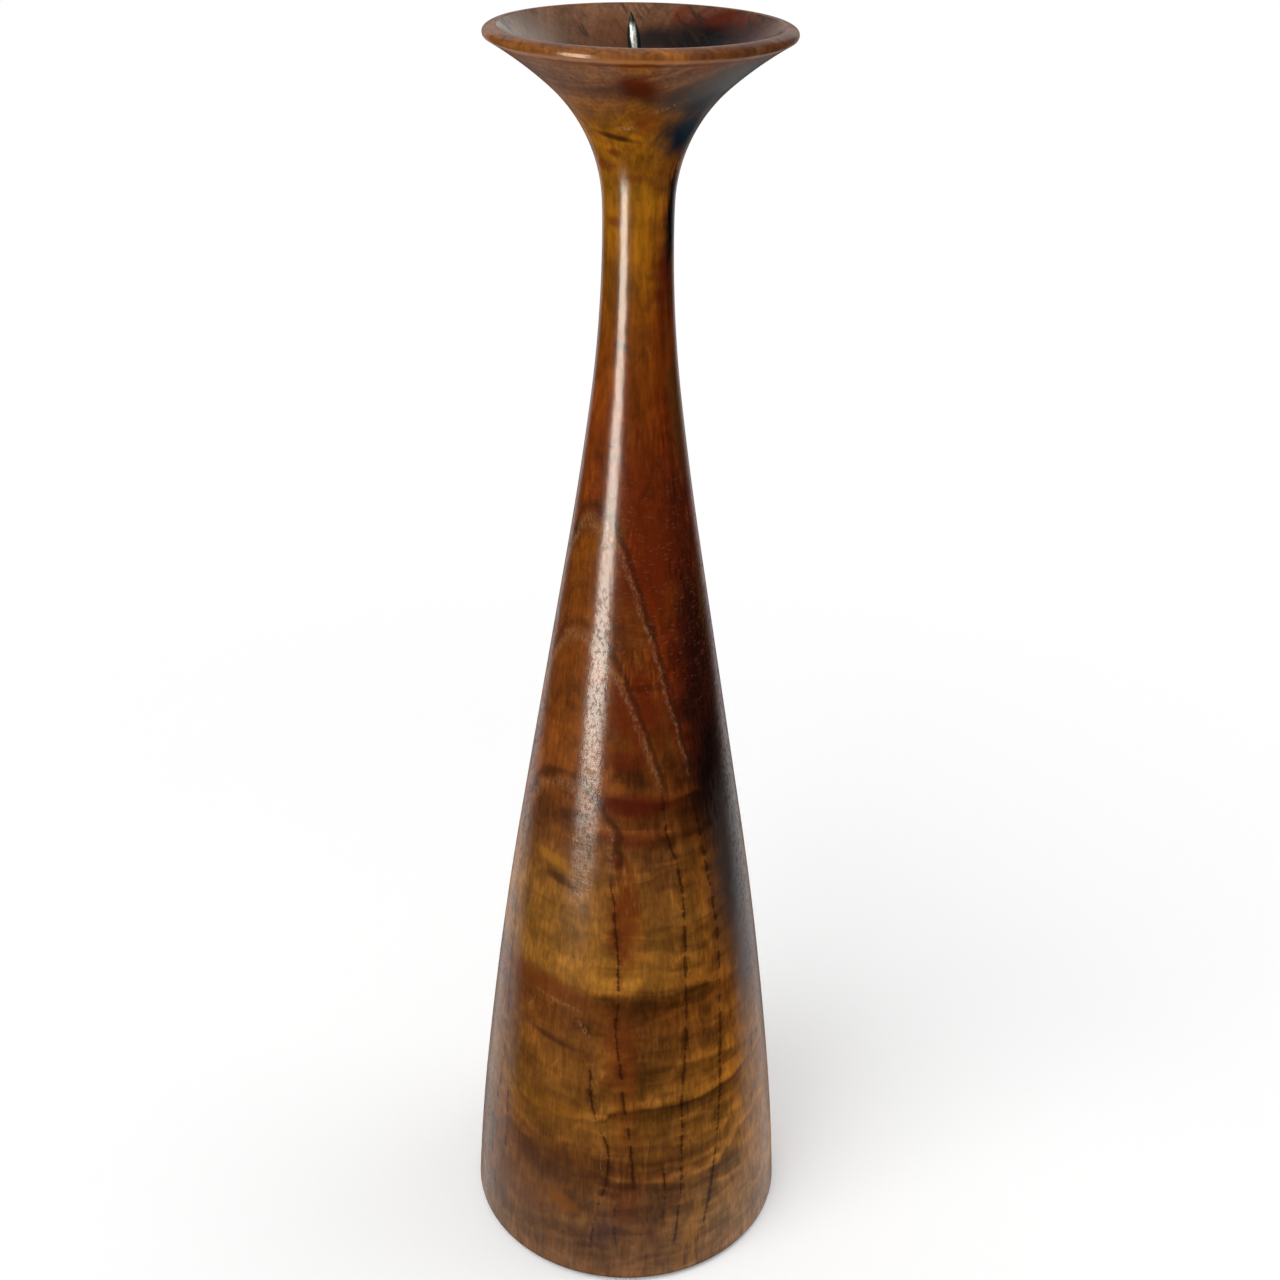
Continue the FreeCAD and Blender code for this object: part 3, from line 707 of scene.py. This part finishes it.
class Wood(Graph):
    """A wood material, with where a point is on the stand and the noises that several stages share."""

    def __init__(self, name):
        super().__init__(name)
        self.place = self.millimetres()
        self.x, self.y, self.z = (self.axis(self.place, number) for number in range(3))
        self.radius = self.distance(self.x, self.y)
        self.angle = self.math("DEGREES", self.math("ARCTAN2", self.x, self.product(self.y, -1.0)))
        self.slant = self.node("LayerWeight", 0.5, output=1)

        self.drift = self.noise(self.place, 0.030, 3.0)
        self.ripple = self.noise(self.stretch(self.place, 1.0, 1.0, 1.6), 0.11, 3.0, shift=40.0)
        self.fibre = self.noise(self.stretch(self.place, 1.0, 1.0, 0.055), 1.1, 4.0, 0.62, shift=11.0)
        self.fine_fibre = self.noise(self.stretch(self.place, 1.0, 1.0, 0.085), 2.6, 3.0, 0.6, shift=23.0)
        self.blotches = self.noise(self.stretch(self.place, 1.0, 1.0, 0.7), 0.055, 4.0, 0.55, 0.4, shift=70.0)
        pores = self.noise(self.stretch(self.place, 1.0, 1.0, 0.45), 1.6, 2.0, 0.6, shift=31.0)
        self.dots = self.smooth(pores, 0.46, 0.60)

        self.height_share = self.math("DIVIDE", self.z, STAND_HEIGHT)
        warped_height = self.plus(self.z, self.swing(self.ripple, 3.4))
        self.warped_share = self.math("DIVIDE", warped_height, STAND_HEIGHT)
        self.pith = self.pith_distance()
        self.wavy_pith = self.plus(self.pith, self.swing(self.drift, 2.2))

        # Places pushed about by noise, which tear the edge of a patch or draw it out in fibres
        tear = (self.swing(self.ripple, 3.0), self.swing(self.drift, 3.0), self.swing(self.blotches, 4.0))
        pull = (self.swing(self.blotches, 3.0), 0.0, self.swing(self.fibre, 26.0))
        self.torn = self.moved(self.place, *tear)
        self.fibrous = self.moved(self.torn, *pull)

    def moved(self, place, x, y, z):
        return self.node("VectorMath", place, self.node("CombineXYZ", x, y, z), operation="ADD")

    def along(self, x, y):
        """How far the place lies in a direction across the stand."""
        return self.node("VectorMath", self.place, (x, y, 0.0), operation="DOT_PRODUCT", output=1)

    def pith_distance(self):
        """Distance from the pith, which is upright above its bend and leans below it."""
        below_bend = self.math("MAXIMUM", self.minus(PITH_BEND_HEIGHT, self.z), 0.0)
        outward = self.minus(self.along(math.sin(PITH_ANGLE), -math.cos(PITH_ANGLE)), PITH_OFFSET)
        outward = self.minus(outward, self.product(below_bend, PITH_LEAN))
        return self.distance(outward, self.along(math.cos(PITH_ANGLE), math.sin(PITH_ANGLE)))


def wall_tones(wood):
    """Tones by height, for the left side and the right side, with the red heart at the front."""
    aside = wood.math("SINE", wood.math("RADIANS", wood.minus(wood.angle, TONE_SIDE_ANGLE)))
    aside = wood.plus(aside, wood.swing(wood.ripple, 0.35))
    left_tone = wood.ramp(wood.warped_share, LEFT_TONES)
    right_tone = wood.ramp(wood.warped_share, RIGHT_TONES)
    colour = wood.mix(wood.smooth(aside, -0.22, 0.34), left_tone, right_tone)
    heart = wood.product(
        wood.smooth(wood.wavy_pith, HEART_RADIUS + 0.9, HEART_RADIUS - 0.9),
        wood.smooth(wood.angle, -16.0, -4.0),
        wood.zone(wood.z, 150.0, 176.0, 226.0, 268.0),
        HEART_SHARE,
    )
    return wood.mix(heart, colour, MAROON)


def add_grain(wood, colour, fleck_shades):
    """Growth rings, fibres, blotches and flecks, which lighten and darken the tones."""
    ring_place = wood.node("CombineXYZ", wood.wavy_pith, wood.product(wood.z, 0.010), 0.0)
    rings = wood.noise(ring_place, 0.42, 4.0, 0.6)
    colour = wood.shade(colour, wood.smooth(rings, 0.28, 0.72, 0.72, 1.30))
    colour = wood.shade(colour, wood.smooth(wood.fibre, 0.28, 0.72, 0.78, 1.20))
    colour = wood.mix(wood.smooth(wood.blotches, 0.52, 0.72, 0.0, 0.45), colour, DARK_BROWN)
    colour = wood.mix(wood.smooth(wood.blotches, 0.46, 0.28, 0.0, 0.30), colour, ORANGE)
    flecks = wood.noise(wood.stretch(wood.place, 1.0, 1.0, 0.45), 0.30, 2.5, 0.6, 0.9, shift=82.0)
    return wood.shade(colour, wood.smooth(flecks, 0.32, 0.68, *fleck_shades))


def add_curls_and_sheen(wood, colour):
    """Curl bands with their painted sheen, strongest at the front and wandering round the back, and small
    curls between them.
    """
    stops = [(0.0, 0.5)]
    for edge, below, above in CURLS_AND_SHEEN:
        stops.append(((edge - CURL_EDGE) / STAND_HEIGHT, below))
        stops.append(((edge + CURL_EDGE) / STAND_HEIGHT, above))
    stops.append((CURL_TOP / STAND_HEIGHT, 0.5))
    off_front = wood.plus(wood.angle, wood.swing(wood.blotches, 26.0))
    off_front = wood.math("ABSOLUTE", wood.minus(off_front, CURL_ANGLE))
    front = wood.smooth(off_front, 42.0, 18.0)
    wander = wood.product(wood.swing(wood.drift, 26.0), wood.rest(front))
    curl_height = wood.plus(wood.plus(wood.z, wood.swing(wood.drift, 5.0)), wander)
    curl_and_sheen = wood.ramp(wood.math("DIVIDE", curl_height, STAND_HEIGHT), stops)
    curled_and_sheen = wood.shade(colour, wood.plus(wood.product(curl_and_sheen, 1.6), 0.16))
    colour = wood.mix(wood.smooth(front, 0.0, 1.0, 0.28, 0.92), colour, curled_and_sheen)
    small_curls = wood.noise(wood.stretch(wood.place, 0.30, 0.30, 1.0), 0.20, 1.0, 0.4, 0.9, shift=61.0)
    curl_share = wood.product(
        wood.smooth(wood.z, 240.0, 150.0, 0.25, 0.9),
        wood.smooth(front, 0.0, 1.0, 0.5, 1.0),
    )
    return wood.mix(curl_share, colour, wood.shade(colour, wood.smooth(small_curls, 0.36, 0.64, 0.74, 1.30)))


def add_patches(wood, colour, wall, patches):
    """Patches of other colours, some of them painted reflections, highlights and shade. Large ones end in
    fibres or are torn, and cream and tan ones are filled pores.
    """
    for *spot, patch_colour, strength in patches:
        half_height = spot[3]
        if half_height > FIBROUS_ABOVE:
            place = wood.fibrous
        elif half_height > TORN_ABOVE:
            place = wood.torn
        else:
            place = wood.place
        mask = patch_mask(wood, place, wall, *spot)
        if patch_colour in (CREAM, TAN):
            mask = wood.product(mask, wood.dots)
        colour = wood.mix(wood.product(mask, strength), colour, patch_colour)
    return colour


def add_ring_lines(wood, colour):
    """Light filled pores in lines along the growth rings, each with a dark line on its inner side."""
    line_place = wood.plus(wood.pith, wood.swing(wood.ripple, 0.7))
    dotted = wood.plus(wood.product(wood.dots, 0.36), 0.10)
    for distance, half_width, low, high in RING_LINES:
        reach = wood.zone(wood.z, low - 4.0, low + 6.0, high - 2.0, high + 4.0)
        off_line = wood.math("ABSOLUTE", wood.minus(line_place, distance))
        line = wood.smooth(off_line, half_width * 2.4, half_width * 0.2)
        colour = wood.mix(wood.product(line, reach, dotted), colour, TAN)
        off_shadow = wood.math("ABSOLUTE", wood.minus(line_place, distance - RING_SHADOW_STEP))
        shadow = wood.smooth(off_shadow, half_width * 2.2, half_width * 0.2, 0.0, 0.65)
        colour = wood.mix(wood.product(shadow, reach), colour, DARK_BROWN)
    return colour


def add_specks(wood, colour):
    """Light specks on the middle of the column."""
    zone = wood.zone(wood.z, 176.0, 200.0, 236.0, 262.0)
    specks = wood.noise(wood.stretch(wood.place, 0.55, 0.55, 1.3), 1.0, 3.0, 0.7, shift=53.0)
    return wood.mix(wood.product(wood.smooth(specks, 0.55, 0.70, 0.0, 0.20), zone), colour, TAN)


def streak_mask(wood, half_width, path, breaks, jitter):
    """One along a thin line that runs up the wall, broken up by noise."""
    places = [(height / STAND_HEIGHT, angle / FULL_TURN + 0.5) for angle, height in path]
    line = wood.curve(wood.height_share, places)
    line = wood.product(wood.minus(line, 0.5), FULL_TURN)
    offset = wood.product(wood.minus(wood.angle, line), math.radians(1), wood.radius)
    offset = wood.math("ABSOLUTE", wood.plus(offset, jitter))
    reach = wood.product(wood.smooth(breaks, 0.40, 0.64, 0.03, 1.9), half_width)
    widths = wood.math("DIVIDE", offset, reach)
    core = wood.smooth(widths, 1.6, 0.4)
    halo = wood.smooth(widths, 5.0, 1.0, 0.0, 0.38)
    low = places[0][0]
    high = places[-1][0]
    fade = STREAK_FADE_SHARE
    length = wood.zone(wood.height_share, low - fade, low + fade, high - fade, high + fade)
    return wood.product(wood.math("MAXIMUM", core, halo), length)


def add_streaks(wood, colour):
    """Dark thin streaks up the wall, broken and a little crooked."""
    breaks = wood.noise(wood.stretch(wood.place, 0.3, 0.3, 1.0), 0.24, 3.0, 0.65, shift=90.0)
    crooked = wood.noise(wood.stretch(wood.place, 0.25, 0.25, 1.0), 0.30, 3.0, 0.7, shift=44.0)
    jitter = wood.swing(crooked, 0.75)
    dark = 0.0
    for half_width, path in STREAKS:
        dark = wood.math("MAXIMUM", dark, streak_mask(wood, half_width, path, breaks, jitter))
    return wood.mix(wood.product(dark, 0.78), colour, STREAK_BROWN)


def add_pores(wood, colour):
    """Fine dark and light pores along the fibres."""
    colour = wood.mix(wood.smooth(wood.fine_fibre, 0.38, 0.26, 0.0, 0.62), colour, PORE_BROWN)
    return wood.mix(wood.smooth(wood.fine_fibre, 0.68, 0.80, 0.0, 0.20), colour, ORANGE)


def add_dish_stripes(wood, colour):
    """Dark slanting stripes on the dish wall."""
    tilted = wood.node("Mapping", wood.place, (0, 0, 0), (0.0, STRIPE_TILT, 0.0), (1.0, 1.0, 1.0))
    stripes = wood.noise(wood.stretch(tilted, 1.0, 0.25, 0.12), 0.42, 3.0, 0.6)
    return wood.mix(wood.smooth(stripes, 0.50, 0.66, 0.0, 0.75), colour, STRIPE_BROWN)


def lacquer_weight(wood):
    """How strong the lacquer's gloss is: more at a slant, and less where it has sunk into open pores."""
    open_pores = wood.noise(wood.stretch(wood.place, 1.0, 1.0, 0.50), 1.15, 2.0, 0.6, 0.5, shift=37.0)
    sunk = wood.product(
        wood.smooth(open_pores, 0.48, 0.62),
        wood.smooth(wood.z, 262.0, 206.0, 0.15, 0.58),
        wood.smooth(wood.z, 96.0, 150.0, 0.45, 1.0),
    )
    return wood.product(wood.smooth(wood.slant, 0.20, 0.80, 0.45, 0.78), wood.rest(sunk))


def finish_wood(wood, colour, coat):
    """Close the material with its lacquer, which has slight ripples and sinks a little into the pores."""
    waves = wood.noise(wood.place, 0.10, 2.0, 0.5, shift=5.0)
    combing = wood.noise(wood.stretch(wood.place, 0.22, 0.22, 1.0), 0.95, 2.0, 0.5, shift=17.0)
    dimples = wood.noise(wood.stretch(wood.place, 1.0, 1.0, 0.5), 0.5, 3.0, 0.6, 0.4, shift=57.0)
    rippled = wood.bump(waves, 0.00022, 0.6)
    lacquered = wood.bump(combing, 0.00006, 0.5, rippled)
    return wood.finish(
        Base_Color=colour,
        Roughness=wood.smooth(wood.fine_fibre, 0.3, 0.7, 0.52, 0.34),
        Specular_IOR_Level=0.0,
        Coat_Weight=coat,
        Coat_Roughness=0.20,
        Coat_IOR=1.35,
        Normal=wood.bump(wood.fine_fibre, 0.00005, 0.6, rippled),
        Coat_Normal=wood.bump(dimples, 0.00014, 0.22, lacquered),
    )


def wall_wood(wall):
    """The lacquered figured wood of everything but the dish."""
    wood = Wood("lacquered_figured_wood")
    colour = add_grain(wood, wall_tones(wood), (0.80, 1.22))
    colour = add_patches(wood, add_curls_and_sheen(wood, colour), wall, PATCHES)
    # Painted contact shade along the foot's lower edge
    painted_foot_shade = wood.smooth(wood.z, 0.8, 2.6, 0.12, 1.0)
    colour = add_ring_lines(wood, wood.shade(colour, painted_foot_shade))
    colour = add_pores(wood, add_streaks(wood, add_specks(wood, colour)))

    # The gloss is weaker on the flare, at the foot's edge and at a grazing angle
    flare = wood.product(wood.smooth(wood.z, 316.0, 336.0), wood.smooth(wood.z, 353.4, 352.4, 0.45, 1.0))
    coat = wood.product(
        lacquer_weight(wood),
        wood.rest(wood.product(flare, 0.74)),
        wood.smooth(wood.z, 1.0, 2.4),
        wood.smooth(wood.slant, 0.76, 0.95, 1.0, 0.30),
    )
    return finish_wood(wood, colour, coat)


def dish_wood(wall):
    """The lacquered wood of the dish, with painted shade and dark reflection towards the right, painted shade
    towards its floor, and less gloss towards the right.
    """
    wood = Wood("lacquered_dish_wood")
    colour = add_grain(wood, wood.ramp(wood.warped_share, DISH_TONES_AND_SHADE), (0.88, 1.12))
    colour = add_pores(wood, add_patches(wood, colour, wall, DISH_PATCHES))
    coat = wood.product(lacquer_weight(wood), wood.smooth(wood.x, -4.0, 12.0, 1.0, 0.55))
    return finish_wood(wood, add_dish_stripes(wood, colour), coat)


def steel_material():
    """Old forged steel: a dark skin that also stands for dark reflections on the flanks, with a painted
    highlight along the front and the back.
    """
    graph = Graph("aged_steel")
    place = graph.millimetres()
    above = graph.minus(graph.axis(place, 2), FLOOR_HEIGHT)
    level = graph.product(graph.axis(place, 0), math.cos(PRICKET_LEAN))
    sideways = graph.plus(level, graph.product(above, math.sin(PRICKET_LEAN)))
    mottle = graph.noise(graph.stretch(place, 1.0, 1.0, 0.55), 1.9, 4.0, 0.65)
    scratches = graph.noise(graph.stretch(place, 1.0, 1.0, 0.10), 6.0, 3.0, 0.6, shift=7.0)
    offset = graph.math("ABSOLUTE", graph.plus(sideways, graph.swing(mottle, 0.35)))
    # Painted highlight stripe along the front and the back of the pricket, with more metallic there
    painted_highlight = graph.product(
        graph.smooth(offset, 0.86, 0.48),
        graph.smooth(above, 16.8, 14.8),
        graph.smooth(mottle, 0.34, 0.52, 0.45, 1.0),
    )
    roughness = graph.smooth(scratches, 0.3, 0.7, 0.44, 0.58)
    return graph.finish(
        Base_Color=graph.mix(painted_highlight, graph.ramp(mottle, STEEL_SKIN_AND_DARK_REFLECTION), graph.ramp(scratches, STEEL_PAINTED_HIGHLIGHT)),
        Metallic=graph.smooth(painted_highlight, 0.0, 1.0, 0.05, 0.45),
        Roughness=graph.plus(roughness, graph.product(painted_highlight, 0.12)),
        Specular_IOR_Level=0.1,
        Normal=graph.bump(mottle, 0.00006, 0.6, graph.bump(scratches, 0.00002, 0.7)),
    )


def felt_material():
    """Pressed wool felt: matted fibres with a soft nap."""
    graph = Graph("wool_felt")
    place = graph.millimetres()
    matted = graph.noise(place, 1.4, 5.0, 0.7, 1.6)
    fibres = graph.noise(graph.stretch(place, 1.0, 0.3, 1.0), 3.4, 3.0, 0.6, 2.2, shift=9.0)
    clouds = graph.noise(place, 0.06, 3.0, 0.5, shift=3.0)
    colour = graph.mix(graph.smooth(clouds, 0.35, 0.70, 0.0, 0.4), graph.ramp(matted, FELT_TONES), FELT_CLOUD)
    return graph.finish(
        Base_Color=graph.mix(graph.smooth(fibres, 0.62, 0.78, 0.0, 0.5), colour, FELT_NAP),
        Roughness=graph.smooth(matted, 0.3, 0.7, 0.98, 0.86),
        Specular_IOR_Level=0.25,
        Sheen_Weight=0.35,
        Sheen_Roughness=0.6,
        Normal=graph.bump(fibres, 0.00012, 0.6, graph.bump(matted, 0.00025, 0.8)),
    )


def build_stand():
    """The turned stand: one closed skin, with the dish and the leaning bore in the dish's wood."""
    underside, wall, dish = stand_outline()
    outside = underside + wall
    mouth = BORE_RADIUS + BORE_CHAMFER
    bore = [
        ((FLOOR_RADIUS + mouth) / 2, 0.0),
        (mouth, 0.0),
        (BORE_RADIUS + BORE_EASE, BORE_CHAMFER - BORE_EASE),
        (BORE_RADIUS, BORE_CHAMFER + BORE_EASE),
        (BORE_RADIUS, BORE_DEPTH),
        (0, BORE_DEPTH),
    ]
    rings = [ring(place.x, place.y, AROUND_STAND) for place in outside + dish]
    slant = 1 / math.cos(PRICKET_LEAN)
    for radius, depth in bore:
        shift = depth * math.tan(PRICKET_LEAN)
        rings.append(ring(radius, FLOOR_HEIGHT - depth, AROUND_STAND, shift, slant))
    bands = [0] * (len(outside) - 1) + [1] * (len(dish) + len(bore))
    stand = skin("turned_wood", rings, bands)
    stand.data.materials.append(wall_wood(wall))
    stand.data.materials.append(dish_wood(dish[::-1]))
    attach(stand, "root")
    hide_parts("turned_stand")


def pricket_outline():
    """The upright pricket's half section, from the root's end to the tip. The dish floor is at zero."""
    shoulder = Vector((SHANK_RADIUS, PRICKET_EXPOSED - PRICKET_POINT))
    bend_place = Vector((TAPER_RADIUS, shoulder.y + PRICKET_SHOULDER))
    outline = [
        Vector((0, -PRICKET_BURIED)),
        Vector((ROOT_RADIUS - ROOT_CHAMFER, -PRICKET_BURIED)),
        Vector((ROOT_RADIUS, ROOT_CHAMFER - PRICKET_BURIED)),
        Vector((ROOT_RADIUS, ROOT_TOP - ROOT_EASE)),
        Vector((ROOT_RADIUS - ROOT_EASE, ROOT_TOP)),
        Vector((SHANK_RADIUS + SHANK_EASE_ACROSS, ROOT_TOP)),
    ]
    shank_start = Vector((SHANK_RADIUS, ROOT_TOP + SHANK_EASE_ALONG))
    outline += [shank_start.lerp(shoulder, step / SHANK_STEPS) for step in range(SHANK_STEPS + 1)]
    bend(outline, UP, bend_place, steps=TAPER_STEPS)
    tip_edge = Vector((TIP_RADIUS, PRICKET_EXPOSED - TIP_EDGE_DROP))
    outline += [bend_place.lerp(tip_edge, step / TAPER_STEPS) for step in range(1, TAPER_STEPS + 1)]
    outline.append(Vector((TIP_RADIUS * TIP_CROWN_SHARE, PRICKET_EXPOSED - TIP_CROWN_DROP)))
    outline.append(Vector((0, PRICKET_EXPOSED)))
    return outline


def build_pricket():
    """The steel pricket, dented by hammering, leaned and lifted to the dish floor."""
    rings = [ring(place.x, place.y, AROUND_PRICKET) for place in pricket_outline()]
    pricket = skin("steel_pricket", rings, [0] * (len(rings) - 1))
    for corner in pricket.data.vertices:
        if DENT_LOWEST < corner.co.z / MM < DENT_HIGHEST:
            across = corner.co.xy * DENT_FINENESS_ACROSS
            dent = noise.noise(Vector((*across, corner.co.z * DENT_FINENESS_ALONG)))
            corner.co.xy *= 1 - DENT_SHARE * (0.5 + dent)
    lift = Matrix.Translation((0, 0, FLOOR_HEIGHT * MM))
    pricket.data.transform(lift @ Matrix.Rotation(-PRICKET_LEAN, 4, "Y"))
    pricket.data.materials.append(steel_material())
    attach(pricket, "root")
    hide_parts("pricket_spike")


def build_felt():
    """The felt disc with a cut edge that is a little uneven and soft."""
    radii = [FELT_RADIUS * step / FELT_RINGS for step in range(FELT_RINGS)]
    outline = [(radius, 0.0) for radius in radii]
    outline += [(FELT_RADIUS - inward, height) for inward, height in FELT_EDGE]
    outline += [(radius, FELT_THICKNESS) for radius in reversed(radii)]
    rings = [ring(radius, height, AROUND_FELT) for radius, height in outline]
    felt = skin("felt_disc", rings, [0] * (len(rings) - 1))
    for corner in felt.data.vertices:
        if corner.co.xy.length / MM > FELT_RADIUS - FRAY_REACH:
            fray = (noise.noise(corner.co * FRAY_FINENESS) + 1) / 2
            corner.co.xy *= 1 - FRAY_SHARE * fray
        elif corner.co.z / MM > FELT_THICKNESS / 2:
            nap = (noise.noise(corner.co * NAP_FINENESS) + 1) / 2
            corner.co.z -= NAP_DEPTH * MM * nap
    felt.data.materials.append(felt_material())
    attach(felt, "root")
    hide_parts("felt_pad")


def lamp(name, place, target, width, height, power, colour=WHITE):
    """A flat rectangular lamp that the camera doesn't see, turned towards a target."""
    data = bpy.data.lights.new(name, "AREA")
    data.shape = "RECTANGLE"
    data.size = width
    data.size_y = height
    data.energy = power
    data.color = colour
    made = add_object(name, data)
    made.location = place
    made.rotation_euler = (Vector(target) - Vector(place)).to_track_quat("-Z", "Y").to_euler()
    made.visible_camera = False
    return made


def seen_directly(tree):
    """One for what the camera sees, directly or in a mirror or glass."""
    path = tree.nodes.new("ShaderNodeLightPath")
    seen = path.outputs["Is Camera Ray"]
    for name in ("Is Glossy Ray", "Is Transmission Ray"):
        either = tree.nodes.new("ShaderNodeMath")
        either.operation = "MAXIMUM"
        tree.links.new(seen, either.inputs[0])
        tree.links.new(path.outputs[name], either.inputs[1])
        seen = either.outputs[0]
    return seen


def build_floor():
    """A plain white floor that keeps the stand's shadow and fades to pure white away from it."""
    half = FLOOR_HALF_WIDTH
    corners = [(-half, -half, 0), (half, -half, 0), (half, half, 0), (-half, half, 0)]
    floor = add_faces("floor", corners, [(0, 1, 2, 3)])
    graph = Graph("white_floor")
    seen = seen_directly(graph.tree)
    reach = graph.node("VectorMath", graph.node("TexCoord", output=3), operation="LENGTH", output=1)
    paint = graph.node("BsdfDiffuse", FLOOR_PAINT)
    lift = graph.node("Emission", WHITE, graph.product(seen, FLOOR_LIFT))
    near = graph.node("AddShader", paint, lift)
    far = graph.node("Emission", WHITE, 1.0)
    share = graph.product(graph.smooth(reach, FLOOR_FADE_START, FLOOR_FADE_END), seen)
    graph.tree.links.new(graph.node("MixShader", share, near, far), graph.output.inputs[0])
    floor.data.materials.append(graph.material)


def curtain_material():
    """Dark cloth that is clear round the foot, and clear further out towards the back."""
    graph = Graph("dark_cloth")
    place = graph.node("TexCoord", output=3)
    x = graph.axis(place, 0)
    y = graph.axis(place, 1)
    turned = graph.math("ARCTAN2", graph.math("ABSOLUTE", x), graph.product(y, -1.0))
    backward = graph.smooth(graph.math("DEGREES", turned), 72.0, 150.0)

    # The cloth sets in from one radius, and is full at another. Both go out towards the back.
    inner = graph.plus(graph.product(backward, 0.30), 0.060)
    outer = graph.plus(graph.product(backward, 0.15), graph.plus(inner, 0.050))
    share = graph.smooth(graph.distance(x, y), inner, outer)
    clear = graph.node("BsdfTransparent", WHITE)
    cloth = graph.node("BsdfDiffuse", CURTAIN_COLOUR)
    graph.tree.links.new(graph.node("MixShader", share, clear, cloth), graph.output.inputs[0])
    return graph.material


def build_curtain():
    """A dark curtain with a skirt along the floor, seen only in reflections, as a photographer's flag is."""
    corners = []
    faces = []
    for step in range(CURTAIN_STEPS + 1):
        angle = CURTAIN_FIRST + (CURTAIN_LAST - CURTAIN_FIRST) * step / CURTAIN_STEPS
        for radius, height in CURTAIN_SECTION:
            corners.append((radius * math.sin(angle), -radius * math.cos(angle), height))
    for corner in range(0, 3 * CURTAIN_STEPS, 3):
        faces.append((corner, corner + 3, corner + 4, corner + 1))
        faces.append((corner + 1, corner + 4, corner + 5, corner + 2))
    curtain = add_faces("curtain", corners, faces)
    curtain.data.materials.append(curtain_material())
    curtain.visible_camera = False
    curtain.visible_diffuse = False
    curtain.visible_shadow = False
    curtain.visible_transmission = False


def build_world():
    """A white room, which looks brighter than the light it gives."""
    world = bpy.data.worlds.new("studio")
    bpy.context.scene.world = world
    world.use_nodes = True
    tree = world.node_tree
    tree.nodes.clear()
    output = tree.nodes.new("ShaderNodeOutputWorld")
    background = tree.nodes.new("ShaderNodeBackground")
    background.inputs["Color"].default_value = (*WHITE, 1.0)
    level = tree.nodes.new("ShaderNodeMapRange")
    level.inputs["To Min"].default_value = 0.50
    level.inputs["To Max"].default_value = 1.0
    tree.links.new(seen_directly(tree), level.inputs["Value"])
    tree.links.new(level.outputs[0], background.inputs["Strength"])
    tree.links.new(background.outputs[0], output.inputs[0])


def build_lights():
    """A key light, a fill light, and a tall strip light in three parts that only reflections see."""
    lamp("key_light", (-0.70, -0.75, 1.50), LAMP_TARGET, 1.1, 1.1, 14.0)
    lamp("fill_light", (1.10, 0.30, 1.30), LAMP_TARGET, 1.2, 1.2, 5.0)
    x = STRIP_REACH * math.sin(STRIP_ANGLE)
    y = -STRIP_REACH * math.cos(STRIP_ANGLE)
    for number, (low, high, radiance) in enumerate(STRIP_PARTS):
        middle = (low + high) / 2
        height = high - low
        power = radiance * math.pi * STRIP_WIDTH * height
        name = f"strip_light_{number}"
        strip = lamp(name, (x, y, middle), (0, 0, middle), STRIP_WIDTH, height, power, STRIP_COLOUR)
        strip.visible_diffuse = False
        strip.visible_shadow = False


def build_camera():
    """The camera of the photograph, as fitted to the stand's outline."""
    data = bpy.data.cameras.new("camera")
    data.sensor_width = 36.0
    data.lens = CAMERA_LENS
    data.clip_start = 0.01
    camera = add_object("camera", data)
    tilt = Matrix.Rotation(CAMERA_TILT, 4, "X")
    roll = Matrix.Rotation(CAMERA_ROLL, 4, "Z")
    camera.matrix_world = Matrix.Translation(CAMERA_PLACE) @ tilt @ roll
    bpy.context.scene.camera = camera


build_stand()
build_pricket()
build_felt()
build_floor()
build_curtain()
build_world()
build_lights()
build_camera()
bpy.context.scene.view_settings.view_transform = "Standard"
